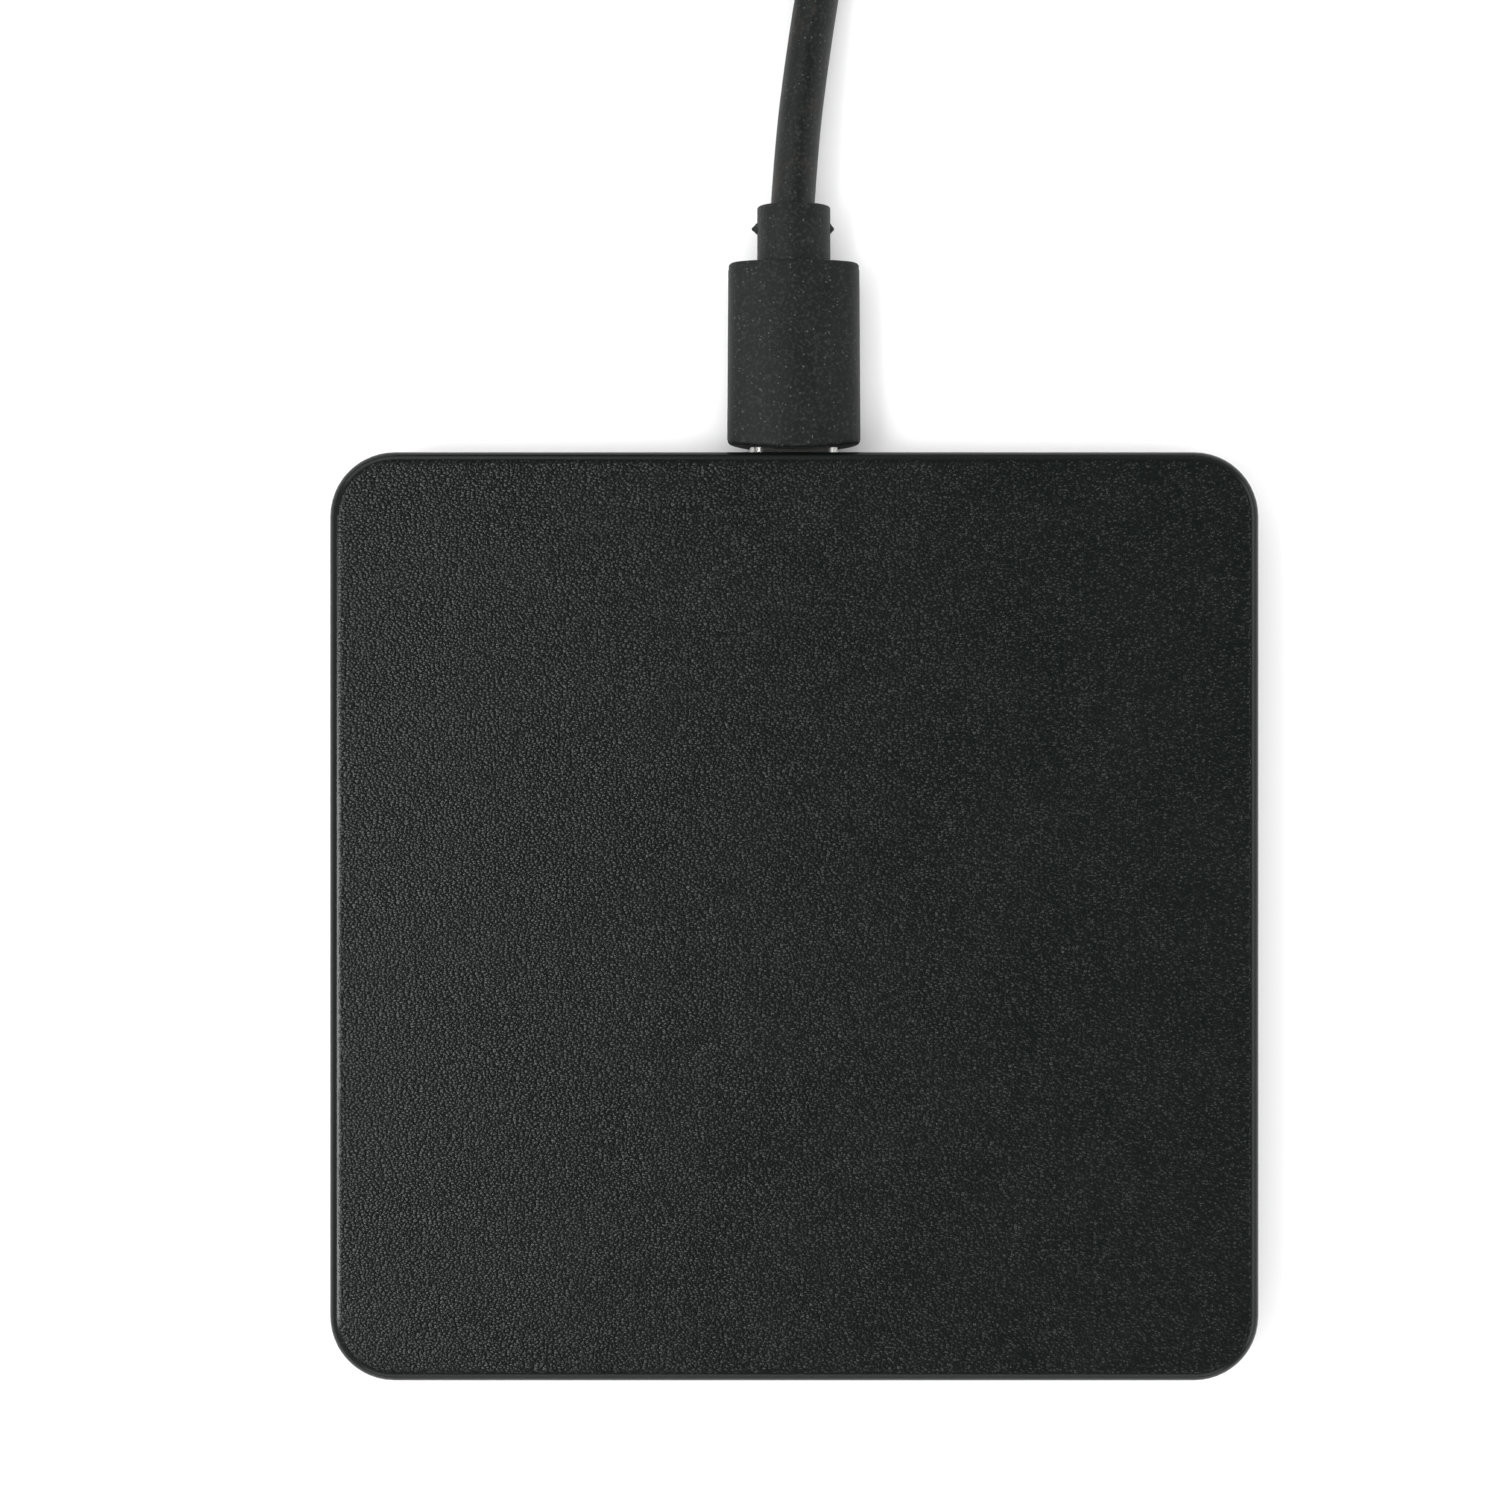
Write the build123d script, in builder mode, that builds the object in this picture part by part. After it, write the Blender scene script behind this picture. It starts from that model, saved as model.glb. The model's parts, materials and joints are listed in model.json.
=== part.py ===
"""Square wireless charging pad with its plug-in supply lead.

Millimetres, +Z up. The origin is on the table under the pad's centre, and +Y points at the port.
The pad is a top cover screwed to a base cover. Between them, from the base up, lie the circuit board,
an adhesive disc, the ferrite shield and the transmitter coil. The supply lead plugs into the port,
and the length that is not in use is wound into a coil held by a tie.
"""

from build123d import *
import os
from math import atan2, cos, degrees, pi, radians, sin, tan

os.makedirs("parts", exist_ok=True)

# ---------------------------------------------------------------- driving dimensions

# Case
pad_width = 86.0
pad_depth = 86.0
pad_corner_radius = 6.0
top_wall = 1.4
side_wall = 1.6
top_edge_radius = 1.2
base_floor = 1.2
base_reveal = 0.15  # the base stands this far inside the cover's outline
base_edge_radius = 0.5
lip_wall = 0.9
lip_height = 1.0
lip_clearance = 0.1

# Feet
foot_diameter = 10.0
foot_stand = 0.8  # how far the feet hold the base off the table
foot_recess = 0.5
foot_clearance = 0.2
foot_edge_radius = 0.35

# Case screws, which sit under the feet
case_screw_inset = 7.5  # from the case's outer face to the screw's axis
case_screw_diameter = 2.0
case_head_diameter = 3.8
case_head_height = 1.0
head_gap = 0.1  # between the head and the foot
head_clearance = 0.2
shank_clearance = 0.15
thread_clearance = 0.03
cup_wall = 1.1
cup_roof = 0.8
boss_wall = 1.6
screw_tip_gap = 0.2
boss_roof = 0.4  # boss left solid above the bore

# Circuit board
board_thickness = 1.0
board_gap = 1.0  # under the board
board_side_margin = 10.0
board_front_margin = 7.0
board_back_margin = 3.5
board_boss_clearance = 0.8
board_post_inset = 4.0
board_post_diameter = 4.4
board_screw_diameter = 1.6
board_head_diameter = 3.0
board_head_height = 0.9
board_screw_length = 2.5
board_screw_tip_gap = 0.2

# Power transmitter
wire_diameter = 1.0
coil_inner_radius = 10.25  # to the middle of the wire
coil_turn_gap = 0.17
coil_half_turns = 19
coil_clearance = 0.2  # between the coil and the cover
ferrite_margin = 3.72  # past the outermost turn
adhesive_margin = 2.0  # inside the ferrite's edge
adhesive_thickness = 0.3
lead_slot_clearance = 0.3
lead_slot_headroom = 0.05  # above and below the lead that lies in the ferrite's slot
inner_lead_x = 5.0
outer_lead_x = 2.5
inner_lead_bend = 4.0
outer_lead_bend = 2.2
lead_bend = 1.5
inner_lead_level = 4.3  # Y where the inner lead starts down towards the slot
inner_lead_entry = -3.5  # Y where it reaches the slot's level
lead_slope_length = 1.6  # along Y, from the ferrite's level down to the board
lead_foot_length = 1.6  # of the lead's end on the board
sensor_x = -3.0
sensor_diameter = 2.0
sensor_height = 1.9
sensor_edge_radius = 0.5
sensor_ribbon_width = 1.2
sensor_ribbon_thickness = 0.4
sensor_slot_clearance = 0.2
sensor_foot_length = 1.3  # of the ribbon's end on the board

# Components on the board: length in X, length in Y, height
controller_size = (5.0, 5.0, 0.9)
bridge_size = (3.3, 3.3, 0.8)
resonant_capacitor_size = (1.6, 3.2, 1.6)
resonant_capacitor_pitch = 2.6
input_capacitor_size = (2.0, 1.25, 1.25)
inductor_size = (4.0, 4.0, 1.9)
status_led_size = (1.6, 0.8, 0.8)
component_edge = 0.12
component_side_inset = 10.0  # from the board's side edge to the corner components
component_front_inset = 4.0
component_back_inset = 8.0
bridge_spacing = 6.0
inductor_offset = 4.0
input_capacitor_x = 9.0
input_capacitor_spacing = 2.5
first_capacitor_gap = 5.7  # from the inner lead

# Light pipe
light_pipe_diameter = 1.6
light_pipe_flange_diameter = 2.4
light_pipe_flange_thickness = 0.6
light_pipe_clearance = 0.05
led_gap = 0.2

# Port
plug_side_fit = 0.075  # between the plug's shell and each side of the receptacle
plug_face_fit = 0.1  # above and below it
plug_end_gap = 0.6  # between the plug's tip and the receptacle's base
receptacle_wall = 0.3
receptacle_recess = 0.4  # behind the case's back face
receptacle_base_length = 1.3
receptacle_tab_width = 1.1
receptacle_tab_length = 1.5
receptacle_tab_thickness = 0.25
port_rise = 0.6  # the port's axis above the middle of the board
port_clearance = 0.15
tongue_width = 6.69
tongue_thickness = 0.7
tongue_recess = 1.0  # behind the receptacle's mouth
contact_count = 12
contact_pitch = 0.5
contact_width = 0.25
contact_thickness = 0.1
contact_setback = 0.4

# Supply plug, USB type C
plug_shell_width = 8.25
plug_shell_height = 2.4
plug_shell_wall = 0.22
plug_shell_length = 6.65  # in front of the overmould
plug_shell_tail = 2.2  # inside the overmould
plug_gap = 0.85  # between the overmould and the case
plug_slot_clearance = 0.12
plug_slot_end_gap = 0.35
plug_insulator_setback = 0.1
overmould_width = 12.4
overmould_height = 6.4
overmould_end_radius = 2.2  # of the oval's narrow sides
overmould_taper = 0.34  # degrees, narrower towards the neck
overmould_length = 16.9
overmould_edge_radius = 0.35
neck_width = 6.85
neck_height = 5.7
neck_end_radius = 2.5
neck_length = 5.2
neck_edge_radius = 0.3
pip_place = 2.35  # from the neck's end
pip_left = 0.37  # how far each moulding pip stands out
pip_right = 0.22
pip_length = 0.95
pip_height = 0.9
plug_mould_side = 1.5  # overmould left beside the inner mould
plug_mould_cover = 1.1  # overmould left above and below it
plug_mould_length = 8.5
plug_mould_corner = 1.4
plug_mould_edge_radius = 0.5
plug_board_width = 7.2
plug_board_thickness = 0.6
plug_board_length = 6.0

# Supply lead
cord_diameter = 4.1
cord_seat = 1.0  # how far the cord enters each overmould
bend_share = 0.45  # of the shorter run at each corner

# Wound length
wound_turn_columns = 3
wound_turn_layers = 2
wound_centre_x = -18.6
wound_centre_from_neck = 52.6
wound_mid_radius = 22.5
tie_width = 4.0
tie_thickness = 0.5
tie_clearance = 0.1
tie_corner_radius = 0.6
tie_angle = 150.0

# Far plug, USB type A
usb_a_neck_x = 19.4
usb_a_neck_from_neck = 44.95  # along Y from the supply plug's neck
usb_a_heading = 45.0  # from +X
usb_a_body_width = 15.8
usb_a_body_height = 8.0
usb_a_body_length = 23.0
usb_a_body_corner = 2.6
usb_a_body_edge_radius = 0.8
usb_a_neck_diameter = 6.4
usb_a_neck_length = 6.5
usb_a_neck_edge_radius = 0.4
usb_a_shell_width = 12.0
usb_a_shell_height = 4.5
usb_a_shell_corner = 0.6
usb_a_shell_wall = 0.3
usb_a_shell_length = 18.75
usb_a_shell_tail = 4.0
usb_a_window_width = 2.5
usb_a_window_length = 1.9
usb_a_window_spacing = 5.2
usb_a_window_from_tip = 6.6
usb_a_insulator_thickness = 1.84
usb_a_insulator_setback = 0.6
usb_a_contact_width = 1.0
usb_a_contact_thickness = 0.25
usb_a_contact_length = 7.4
usb_a_contact_places = (-3.5, -1.0, 1.0, 3.5)
usb_a_mould_side = 1.4
usb_a_mould_cover = 1.2
usb_a_mould_length = 12.0
usb_a_mould_corner = 1.8
usb_a_mould_edge_radius = 0.6

# Cross recess of the screws
recess_length_share = 0.55  # of the head's diameter
recess_width_share = 0.14
recess_depth_share = 0.5  # of the head's height
head_edge_share = 0.3

# ---------------------------------------------------------------- levels and places

base_z = foot_stand
parting_z = base_z + base_floor
board_z = parting_z + board_gap
board_top = board_z + board_thickness
ferrite_z = board_top + adhesive_thickness
ferrite_thickness = wire_diameter + 2 * lead_slot_headroom
coil_z = ferrite_z + ferrite_thickness
ceiling_z = coil_z + wire_diameter + coil_clearance
pad_top = ceiling_z + top_wall
port_z = board_z + board_thickness / 2 + port_rise
led_z = board_top + status_led_size[2] / 2

half_width = pad_width / 2
half_depth = pad_depth / 2
case_screw_x = half_width - case_screw_inset
case_screw_y = half_depth - case_screw_inset
foot_ledge_z = base_z + foot_recess
case_seat_z = foot_ledge_z + head_gap + case_head_height
cup_radius = case_head_diameter / 2 + head_clearance + cup_wall
cup_top = case_seat_z + cup_roof
boss_radius = case_screw_diameter / 2 + boss_wall
boss_bore_top = ceiling_z - boss_roof
case_screw_length = boss_bore_top - screw_tip_gap - case_seat_z

board_half_width = half_width - board_side_margin
board_front = -half_depth + board_front_margin
board_back = half_depth - board_back_margin
board_notch_x = case_screw_x - cup_radius - board_boss_clearance
board_notch_y = case_screw_y - cup_radius - board_boss_clearance
board_post_x = board_half_width - board_post_inset
board_post_y = board_notch_y - board_post_inset

overmould_front = half_depth + plug_gap
overmould_back = overmould_front + overmould_length
neck_end = overmould_back + neck_length
plug_tip = overmould_front - plug_shell_length

receptacle_opening_width = plug_shell_width + 2 * plug_side_fit
receptacle_opening_height = plug_shell_height + 2 * plug_face_fit
receptacle_width = receptacle_opening_width + 2 * receptacle_wall
receptacle_height = receptacle_opening_height + 2 * receptacle_wall
receptacle_front = half_depth - receptacle_recess
receptacle_back = plug_tip - plug_end_gap - receptacle_base_length
receptacle_length = receptacle_front - receptacle_back
tongue_tip = receptacle_front - tongue_recess

cord_radius = cord_diameter / 2
wound_centre_y = neck_end + wound_centre_from_neck
wound_width = wound_turn_columns * cord_diameter
wound_height = wound_turn_layers * cord_diameter
upper_turn_z = wound_height - cord_radius
usb_a_z = usb_a_body_height / 2

corner_sides = {
    "front_left": (-1, -1),
    "front_right": (1, -1),
    "back_left": (-1, 1),
    "back_right": (1, 1),
}


def port_plane(y):
    """Plane square to Y at y, centred on the port's axis: X across, Z up, normal towards the front."""
    return Plane((0, y, port_z), x_dir=(1, 0, 0), z_dir=(0, -1, 0))


def led_plane(y):
    """The same on the axis of the status light."""
    return Plane((0, y, led_z), x_dir=(1, 0, 0), z_dir=(0, -1, 0))


def oval(width, height, end_radius):
    """Oval of four tangent arcs: two broad ones above and below, two of end_radius at the sides."""
    reach = width / 2
    rise = height / 2
    broad_radius = (reach**2 + rise**2 - 2 * reach * end_radius) / (2 * (rise - end_radius))
    side = reach - end_radius
    drop = broad_radius - rise
    tangent = degrees(atan2(drop, side))
    with BuildSketch() as outline:
        with BuildLine():
            CenterArc((0, -drop), broad_radius, tangent, 180 - 2 * tangent)
            CenterArc((-side, 0), end_radius, 180 - tangent, 2 * tangent)
            CenterArc((0, drop), broad_radius, 180 + tangent, 180 - 2 * tangent)
            CenterArc((side, 0), end_radius, -tangent, 2 * tangent)
        make_face()
    return outline.sketch


# ---------------------------------------------------------------- case

with BuildPart() as base_cover:
    with BuildSketch(Plane.XY.offset(base_z)):
        RectangleRounded(
            pad_width - 2 * base_reveal,
            pad_depth - 2 * base_reveal,
            pad_corner_radius - base_reveal,
        )
    extrude(amount=base_floor)
    fillet(base_cover.faces().sort_by(Axis.Z)[0].edges(), base_edge_radius)
    # upstand that centres the cover, open where the receptacle passes
    lip_inset = side_wall + lip_clearance
    with BuildSketch(Plane.XY.offset(parting_z)):
        RectangleRounded(
            pad_width - 2 * lip_inset,
            pad_depth - 2 * lip_inset,
            pad_corner_radius - lip_inset,
        )
        offset(amount=-lip_wall, mode=Mode.SUBTRACT)
        with Locations((0, half_depth - lip_inset)):
            Rectangle(receptacle_width + 2 * port_clearance, 2 * lip_wall + lip_clearance, mode=Mode.SUBTRACT)
    extrude(amount=lip_height)
    # cups round the case screws' heads
    with BuildSketch(Plane.XY.offset(parting_z)):
        with GridLocations(2 * case_screw_x, 2 * case_screw_y, 2, 2):
            Circle(cup_radius)
    extrude(amount=cup_top - parting_z)
    # posts under the board
    with BuildSketch(Plane.XY.offset(parting_z)):
        with GridLocations(2 * board_post_x, 2 * board_post_y, 2, 2):
            Circle(board_post_diameter / 2)
    extrude(amount=board_gap)
    # foot recesses, head pockets and screw holes, cut from below
    with BuildSketch(Plane.XY.offset(base_z)):
        with GridLocations(2 * case_screw_x, 2 * case_screw_y, 2, 2):
            Circle(foot_diameter / 2 + foot_clearance)
    extrude(amount=foot_recess, mode=Mode.SUBTRACT)
    with BuildSketch(Plane.XY.offset(base_z)):
        with GridLocations(2 * case_screw_x, 2 * case_screw_y, 2, 2):
            Circle(case_head_diameter / 2 + head_clearance)
    extrude(amount=case_seat_z - base_z, mode=Mode.SUBTRACT)
    with BuildSketch(Plane.XY.offset(base_z)):
        with GridLocations(2 * case_screw_x, 2 * case_screw_y, 2, 2):
            Circle(case_screw_diameter / 2 + shank_clearance)
    extrude(amount=cup_top - base_z, mode=Mode.SUBTRACT)
    # blind bores of the board screws
    with BuildSketch(Plane.XY.offset(board_top - board_screw_length - board_screw_tip_gap)):
        with GridLocations(2 * board_post_x, 2 * board_post_y, 2, 2):
            Circle(board_screw_diameter / 2 + thread_clearance)
    extrude(until=Until.LAST, mode=Mode.SUBTRACT)
base_cover.part.label = "base_cover"
export_step(base_cover.part, "parts/base_cover.step")

with BuildPart() as top_cover:
    with BuildSketch(Plane.XY.offset(parting_z)):
        RectangleRounded(pad_width, pad_depth, pad_corner_radius)
    extrude(amount=pad_top - parting_z)
    fillet(top_cover.faces().sort_by(Axis.Z)[-1].edges(), top_edge_radius)
    with BuildSketch(Plane.XY.offset(parting_z)):
        RectangleRounded(pad_width - 2 * side_wall, pad_depth - 2 * side_wall, pad_corner_radius - side_wall)
    extrude(amount=ceiling_z - parting_z, mode=Mode.SUBTRACT)
    # bosses that the case screws bite into
    with BuildSketch(Plane.XY.offset(cup_top)):
        with GridLocations(2 * case_screw_x, 2 * case_screw_y, 2, 2):
            Circle(boss_radius)
    extrude(amount=ceiling_z - cup_top)
    with BuildSketch(Plane.XY.offset(cup_top)):
        with GridLocations(2 * case_screw_x, 2 * case_screw_y, 2, 2):
            Circle(case_screw_diameter / 2 + thread_clearance)
    extrude(amount=boss_bore_top - cup_top, mode=Mode.SUBTRACT)
    # port, through the back wall
    with BuildSketch(port_plane(half_depth)):
        SlotOverall(receptacle_width + 2 * port_clearance, receptacle_height + 2 * port_clearance)
    extrude(amount=side_wall, mode=Mode.SUBTRACT)
    # light pipe's hole, through the front wall
    with BuildSketch(led_plane(-half_depth + side_wall)):
        Circle(light_pipe_diameter / 2 + light_pipe_clearance)
    extrude(amount=side_wall, mode=Mode.SUBTRACT)
top_cover.part.label = "top_cover"
export_step(top_cover.part, "parts/top_cover.step")

for corner, (side_x, side_y) in corner_sides.items():
    foot_centre = (side_x * case_screw_x, side_y * case_screw_y, 0)
    with BuildPart() as rubber_foot:
        with BuildSketch(Plane(foot_centre)):
            Circle(foot_diameter / 2)
        extrude(amount=foot_ledge_z)
        fillet(rubber_foot.faces().sort_by(Axis.Z)[0].edges(), foot_edge_radius)
    rubber_foot.part.label = f"rubber_foot_{corner}"
    export_step(rubber_foot.part, f"parts/rubber_foot_{corner}.step")


def screw_solid(seat, head_diameter, head_height, shank_diameter, shank_length):
    """Pan-head screw. Its shank runs along the seat plane's normal, and its head lies behind the plane."""
    with BuildPart() as screw:
        with BuildSketch(seat):
            Circle(head_diameter / 2)
        extrude(amount=-head_height)
        head_face = screw.faces().sort_by(Axis(seat.origin, seat.z_dir))[0]
        fillet(head_face.edges(), head_edge_share * head_height)
        with BuildSketch(seat):
            Circle(shank_diameter / 2)
        extrude(amount=shank_length)
        with BuildSketch(seat.offset(-head_height)):
            Rectangle(recess_length_share * head_diameter, recess_width_share * head_diameter)
            Rectangle(recess_width_share * head_diameter, recess_length_share * head_diameter)
        extrude(amount=recess_depth_share * head_height, mode=Mode.SUBTRACT)
    return screw


for corner, (side_x, side_y) in corner_sides.items():
    seat_plane = Plane((side_x * case_screw_x, side_y * case_screw_y, case_seat_z))
    case_screw = screw_solid(
        seat_plane, case_head_diameter, case_head_height, case_screw_diameter, case_screw_length
    )
    case_screw.part.label = f"case_screw_{corner}"
    export_step(case_screw.part, f"parts/case_screw_{corner}.step")

    board_seat = Plane((side_x * board_post_x, side_y * board_post_y, board_top), z_dir=(0, 0, -1))
    board_screw = screw_solid(
        board_seat, board_head_diameter, board_head_height, board_screw_diameter, board_screw_length
    )
    board_screw.part.label = f"board_screw_{corner}"
    export_step(board_screw.part, f"parts/board_screw_{corner}.step")

# ---------------------------------------------------------------- power transmitter

wire_radius = wire_diameter / 2
coil_mid_z = coil_z + wire_radius
coil_pitch = wire_diameter + coil_turn_gap
coil_outer_radius = coil_inner_radius + (coil_half_turns - 1) * coil_pitch / 2
ferrite_radius = coil_outer_radius + wire_radius + ferrite_margin
slot_lead_z = ferrite_z + ferrite_thickness / 2
board_lead_z = board_top + wire_radius

with BuildPart() as charging_coil:
    with BuildLine(Plane.XY.offset(coil_mid_z)) as coil_path:
        # half turns about two centres, each larger by half the pitch, meet tangent to each other
        for half_turn in range(coil_half_turns):
            turn_side = half_turn % 2
            CenterArc(
                (0, turn_side * coil_pitch / 2),
                coil_inner_radius + half_turn * coil_pitch / 2,
                90 + 180 * turn_side,
                180,
            )
    with BuildSketch(Plane((0, coil_inner_radius, coil_mid_z), z_dir=(-1, 0, 0))):
        Circle(wire_radius)
    sweep(path=coil_path.line)
charging_coil.part.label = "charging_coil"
export_step(charging_coil.part, "parts/charging_coil.step")

# The inner lead turns across the coil's open middle, then runs under the turns in a slot of the ferrite
lead_drop_y = -ferrite_radius - wire_radius
lead_land_y = lead_drop_y - lead_slope_length
lead_end_y = lead_land_y - lead_foot_length

with BuildPart() as coil_lead_inner:
    with BuildLine() as inner_lead_path:
        FilletPolyline(
            (0, coil_inner_radius, coil_mid_z),
            (inner_lead_x, coil_inner_radius, coil_mid_z),
            (inner_lead_x, inner_lead_level, coil_mid_z),
            (inner_lead_x, inner_lead_entry, slot_lead_z),
            (inner_lead_x, lead_drop_y, slot_lead_z),
            (inner_lead_x, lead_land_y, board_lead_z),
            (inner_lead_x, lead_end_y, board_lead_z),
            radius=[inner_lead_bend, lead_bend, lead_bend, lead_bend, lead_bend],
        )
    with BuildSketch(Plane((0, coil_inner_radius, coil_mid_z), z_dir=(1, 0, 0))):
        Circle(wire_radius)
    sweep(path=inner_lead_path.line)
coil_lead_inner.part.label = "coil_lead_inner"
export_step(coil_lead_inner.part, "parts/coil_lead_inner.step")

with BuildPart() as coil_lead_outer:
    with BuildLine() as outer_lead_path:
        FilletPolyline(
            (0, -coil_outer_radius, coil_mid_z),
            (outer_lead_x, -coil_outer_radius, coil_mid_z),
            (outer_lead_x, lead_drop_y, coil_mid_z),
            (outer_lead_x, lead_land_y, board_lead_z),
            (outer_lead_x, lead_end_y, board_lead_z),
            radius=[outer_lead_bend, lead_bend, lead_bend],
        )
    with BuildSketch(Plane((0, -coil_outer_radius, coil_mid_z), z_dir=(1, 0, 0))):
        Circle(wire_radius)
    sweep(path=outer_lead_path.line)
coil_lead_outer.part.label = "coil_lead_outer"
export_step(coil_lead_outer.part, "parts/coil_lead_outer.step")

lead_slot_width = wire_diameter + 2 * lead_slot_clearance
sensor_slot_width = sensor_diameter + 2 * sensor_slot_clearance
sensor_slot_start = -sensor_slot_width / 2

with BuildPart() as ferrite_shield:
    with BuildSketch(Plane.XY.offset(ferrite_z)):
        Circle(ferrite_radius)
        with Locations((inner_lead_x, inner_lead_level + wire_diameter)):
            Rectangle(lead_slot_width, 2 * ferrite_radius, align=(Align.CENTER, Align.MAX), mode=Mode.SUBTRACT)
        with Locations((sensor_x, sensor_slot_start)):
            Rectangle(sensor_slot_width, 2 * ferrite_radius, align=(Align.CENTER, Align.MIN), mode=Mode.SUBTRACT)
    extrude(amount=ferrite_thickness)
ferrite_shield.part.label = "ferrite_shield"
export_step(ferrite_shield.part, "parts/ferrite_shield.step")

with BuildPart() as adhesive_disc:
    with BuildSketch(Plane.XY.offset(board_top)):
        Circle(ferrite_radius - adhesive_margin)
    extrude(amount=adhesive_thickness)
adhesive_disc.part.label = "adhesive_disc"
export_step(adhesive_disc.part, "parts/adhesive_disc.step")

# Bead in the coil's middle, on a flat twin lead that drops to the board behind the ferrite
ribbon_drop_y = ferrite_radius + sensor_ribbon_thickness
ribbon_land_y = ribbon_drop_y + sensor_ribbon_width
sensor_end_y = ribbon_land_y + sensor_foot_length

with BuildPart() as thermistor:
    with BuildSketch(Plane((sensor_x, 0, ferrite_z))):
        Circle(sensor_diameter / 2)
    extrude(amount=sensor_height)
    fillet(thermistor.faces().sort_by(Axis.Z)[-1].edges(), sensor_edge_radius)
    with BuildSketch(Plane.YZ.offset(sensor_x)):
        with BuildLine():
            Polyline(
                (0, ferrite_z),
                (ribbon_drop_y, ferrite_z),
                (ribbon_land_y, board_top),
                (sensor_end_y, board_top),
                (sensor_end_y, board_top + sensor_ribbon_thickness),
                (ribbon_land_y, board_top + sensor_ribbon_thickness),
                (ribbon_drop_y, ferrite_z + sensor_ribbon_thickness),
                (0, ferrite_z + sensor_ribbon_thickness),
                close=True,
            )
        make_face()
    extrude(amount=sensor_ribbon_width / 2, both=True)
thermistor.part.label = "thermistor"
export_step(thermistor.part, "parts/thermistor.step")

# ---------------------------------------------------------------- circuit board

with BuildPart() as circuit_board:
    with BuildSketch(Plane.XY.offset(board_z)):
        Rectangle(2 * board_half_width, 2 * board_notch_y)
        with Locations((0, board_front)):
            Rectangle(2 * board_notch_x, board_back - board_front, align=(Align.CENTER, Align.MIN))
        with Locations((0, board_back)):
            Rectangle(
                receptacle_width + 2 * port_clearance,
                2 * (board_back - receptacle_back + port_clearance),
                mode=Mode.SUBTRACT,
            )
        with GridLocations(2 * board_post_x, 2 * board_post_y, 2, 2):
            Circle(board_screw_diameter / 2 + shank_clearance, mode=Mode.SUBTRACT)
    extrude(amount=board_thickness)
circuit_board.part.label = "circuit_board"
export_step(circuit_board.part, "parts/circuit_board.step")

component_x = board_half_width - component_side_inset
component_front_y = board_front + component_front_inset
component_back_y = board_back - component_back_inset

components = {
    "controller_chip": (component_x, component_back_y, controller_size),
    "bridge_chip_1": (-component_x, component_front_y + bridge_spacing / 2, bridge_size),
    "bridge_chip_2": (-component_x + bridge_spacing, component_front_y, bridge_size),
    "inductor": (-component_x + inductor_offset, component_back_y, inductor_size),
    "status_led": (0, board_front + status_led_size[1] / 2, status_led_size),
}
for number in range(4):
    place_x = inner_lead_x + first_capacitor_gap + number * resonant_capacitor_pitch
    components[f"resonant_capacitor_{number + 1}"] = (place_x, component_front_y, resonant_capacitor_size)
for number in range(2):
    place_y = component_back_y + number * input_capacitor_spacing
    components[f"input_capacitor_{number + 1}"] = (input_capacitor_x, place_y, input_capacitor_size)

for component_name, (place_x, place_y, (length_x, length_y, height)) in components.items():
    with BuildPart() as component:
        with BuildSketch(Plane((place_x, place_y, board_top))):
            Rectangle(length_x, length_y)
        extrude(amount=height)
        chamfer(component.edges().filter_by(Axis.Z), component_edge)
        chamfer(component.faces().sort_by(Axis.Z)[-1].edges(), component_edge / 2)
    component.part.label = component_name
    export_step(component.part, f"parts/{component_name}.step")

# Light pipe from the LED, at the board's front edge, to the front face, with a flange behind the wall
with BuildPart() as light_pipe:
    with BuildSketch(led_plane(board_front - led_gap)):
        Circle(light_pipe_diameter / 2)
    extrude(amount=half_depth + board_front - led_gap)
    with BuildSketch(led_plane(-half_depth + side_wall)):
        Circle(light_pipe_flange_diameter / 2)
    extrude(amount=-light_pipe_flange_thickness)
light_pipe.part.label = "light_pipe"
export_step(light_pipe.part, "parts/light_pipe.step")

# ---------------------------------------------------------------- port

with BuildPart() as receptacle_shell:
    with BuildSketch(port_plane(receptacle_front)):
        SlotOverall(receptacle_width, receptacle_height)
        SlotOverall(receptacle_opening_width, receptacle_opening_height, mode=Mode.SUBTRACT)
    extrude(amount=receptacle_length)
    # soldering tabs that rest on the board beside the notch
    with BuildSketch(Plane.XY.offset(board_top)):
        with Locations((0, receptacle_back + receptacle_tab_length)):
            Rectangle(receptacle_width + 2 * receptacle_tab_width, receptacle_tab_length)
            Rectangle(receptacle_width - receptacle_wall, receptacle_tab_length, mode=Mode.SUBTRACT)
    extrude(amount=receptacle_tab_thickness)
receptacle_shell.part.label = "receptacle_shell"
export_step(receptacle_shell.part, "parts/receptacle_shell.step")

receptacle_contact_z = tongue_thickness / 2 - contact_thickness / 2
receptacle_base_front = receptacle_back + receptacle_base_length
receptacle_contact_length = tongue_tip - contact_setback - receptacle_back

with BuildPart() as receptacle_contacts:
    with BuildSketch(port_plane(tongue_tip - contact_setback)):
        for side_z in (-1, 1):
            with Locations((0, side_z * receptacle_contact_z)):
                with GridLocations(contact_pitch, 0, contact_count, 1):
                    Rectangle(contact_width, contact_thickness)
    extrude(amount=receptacle_contact_length)
receptacle_contacts.part.label = "receptacle_contacts"
export_step(receptacle_contacts.part, "parts/receptacle_contacts.step")

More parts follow.
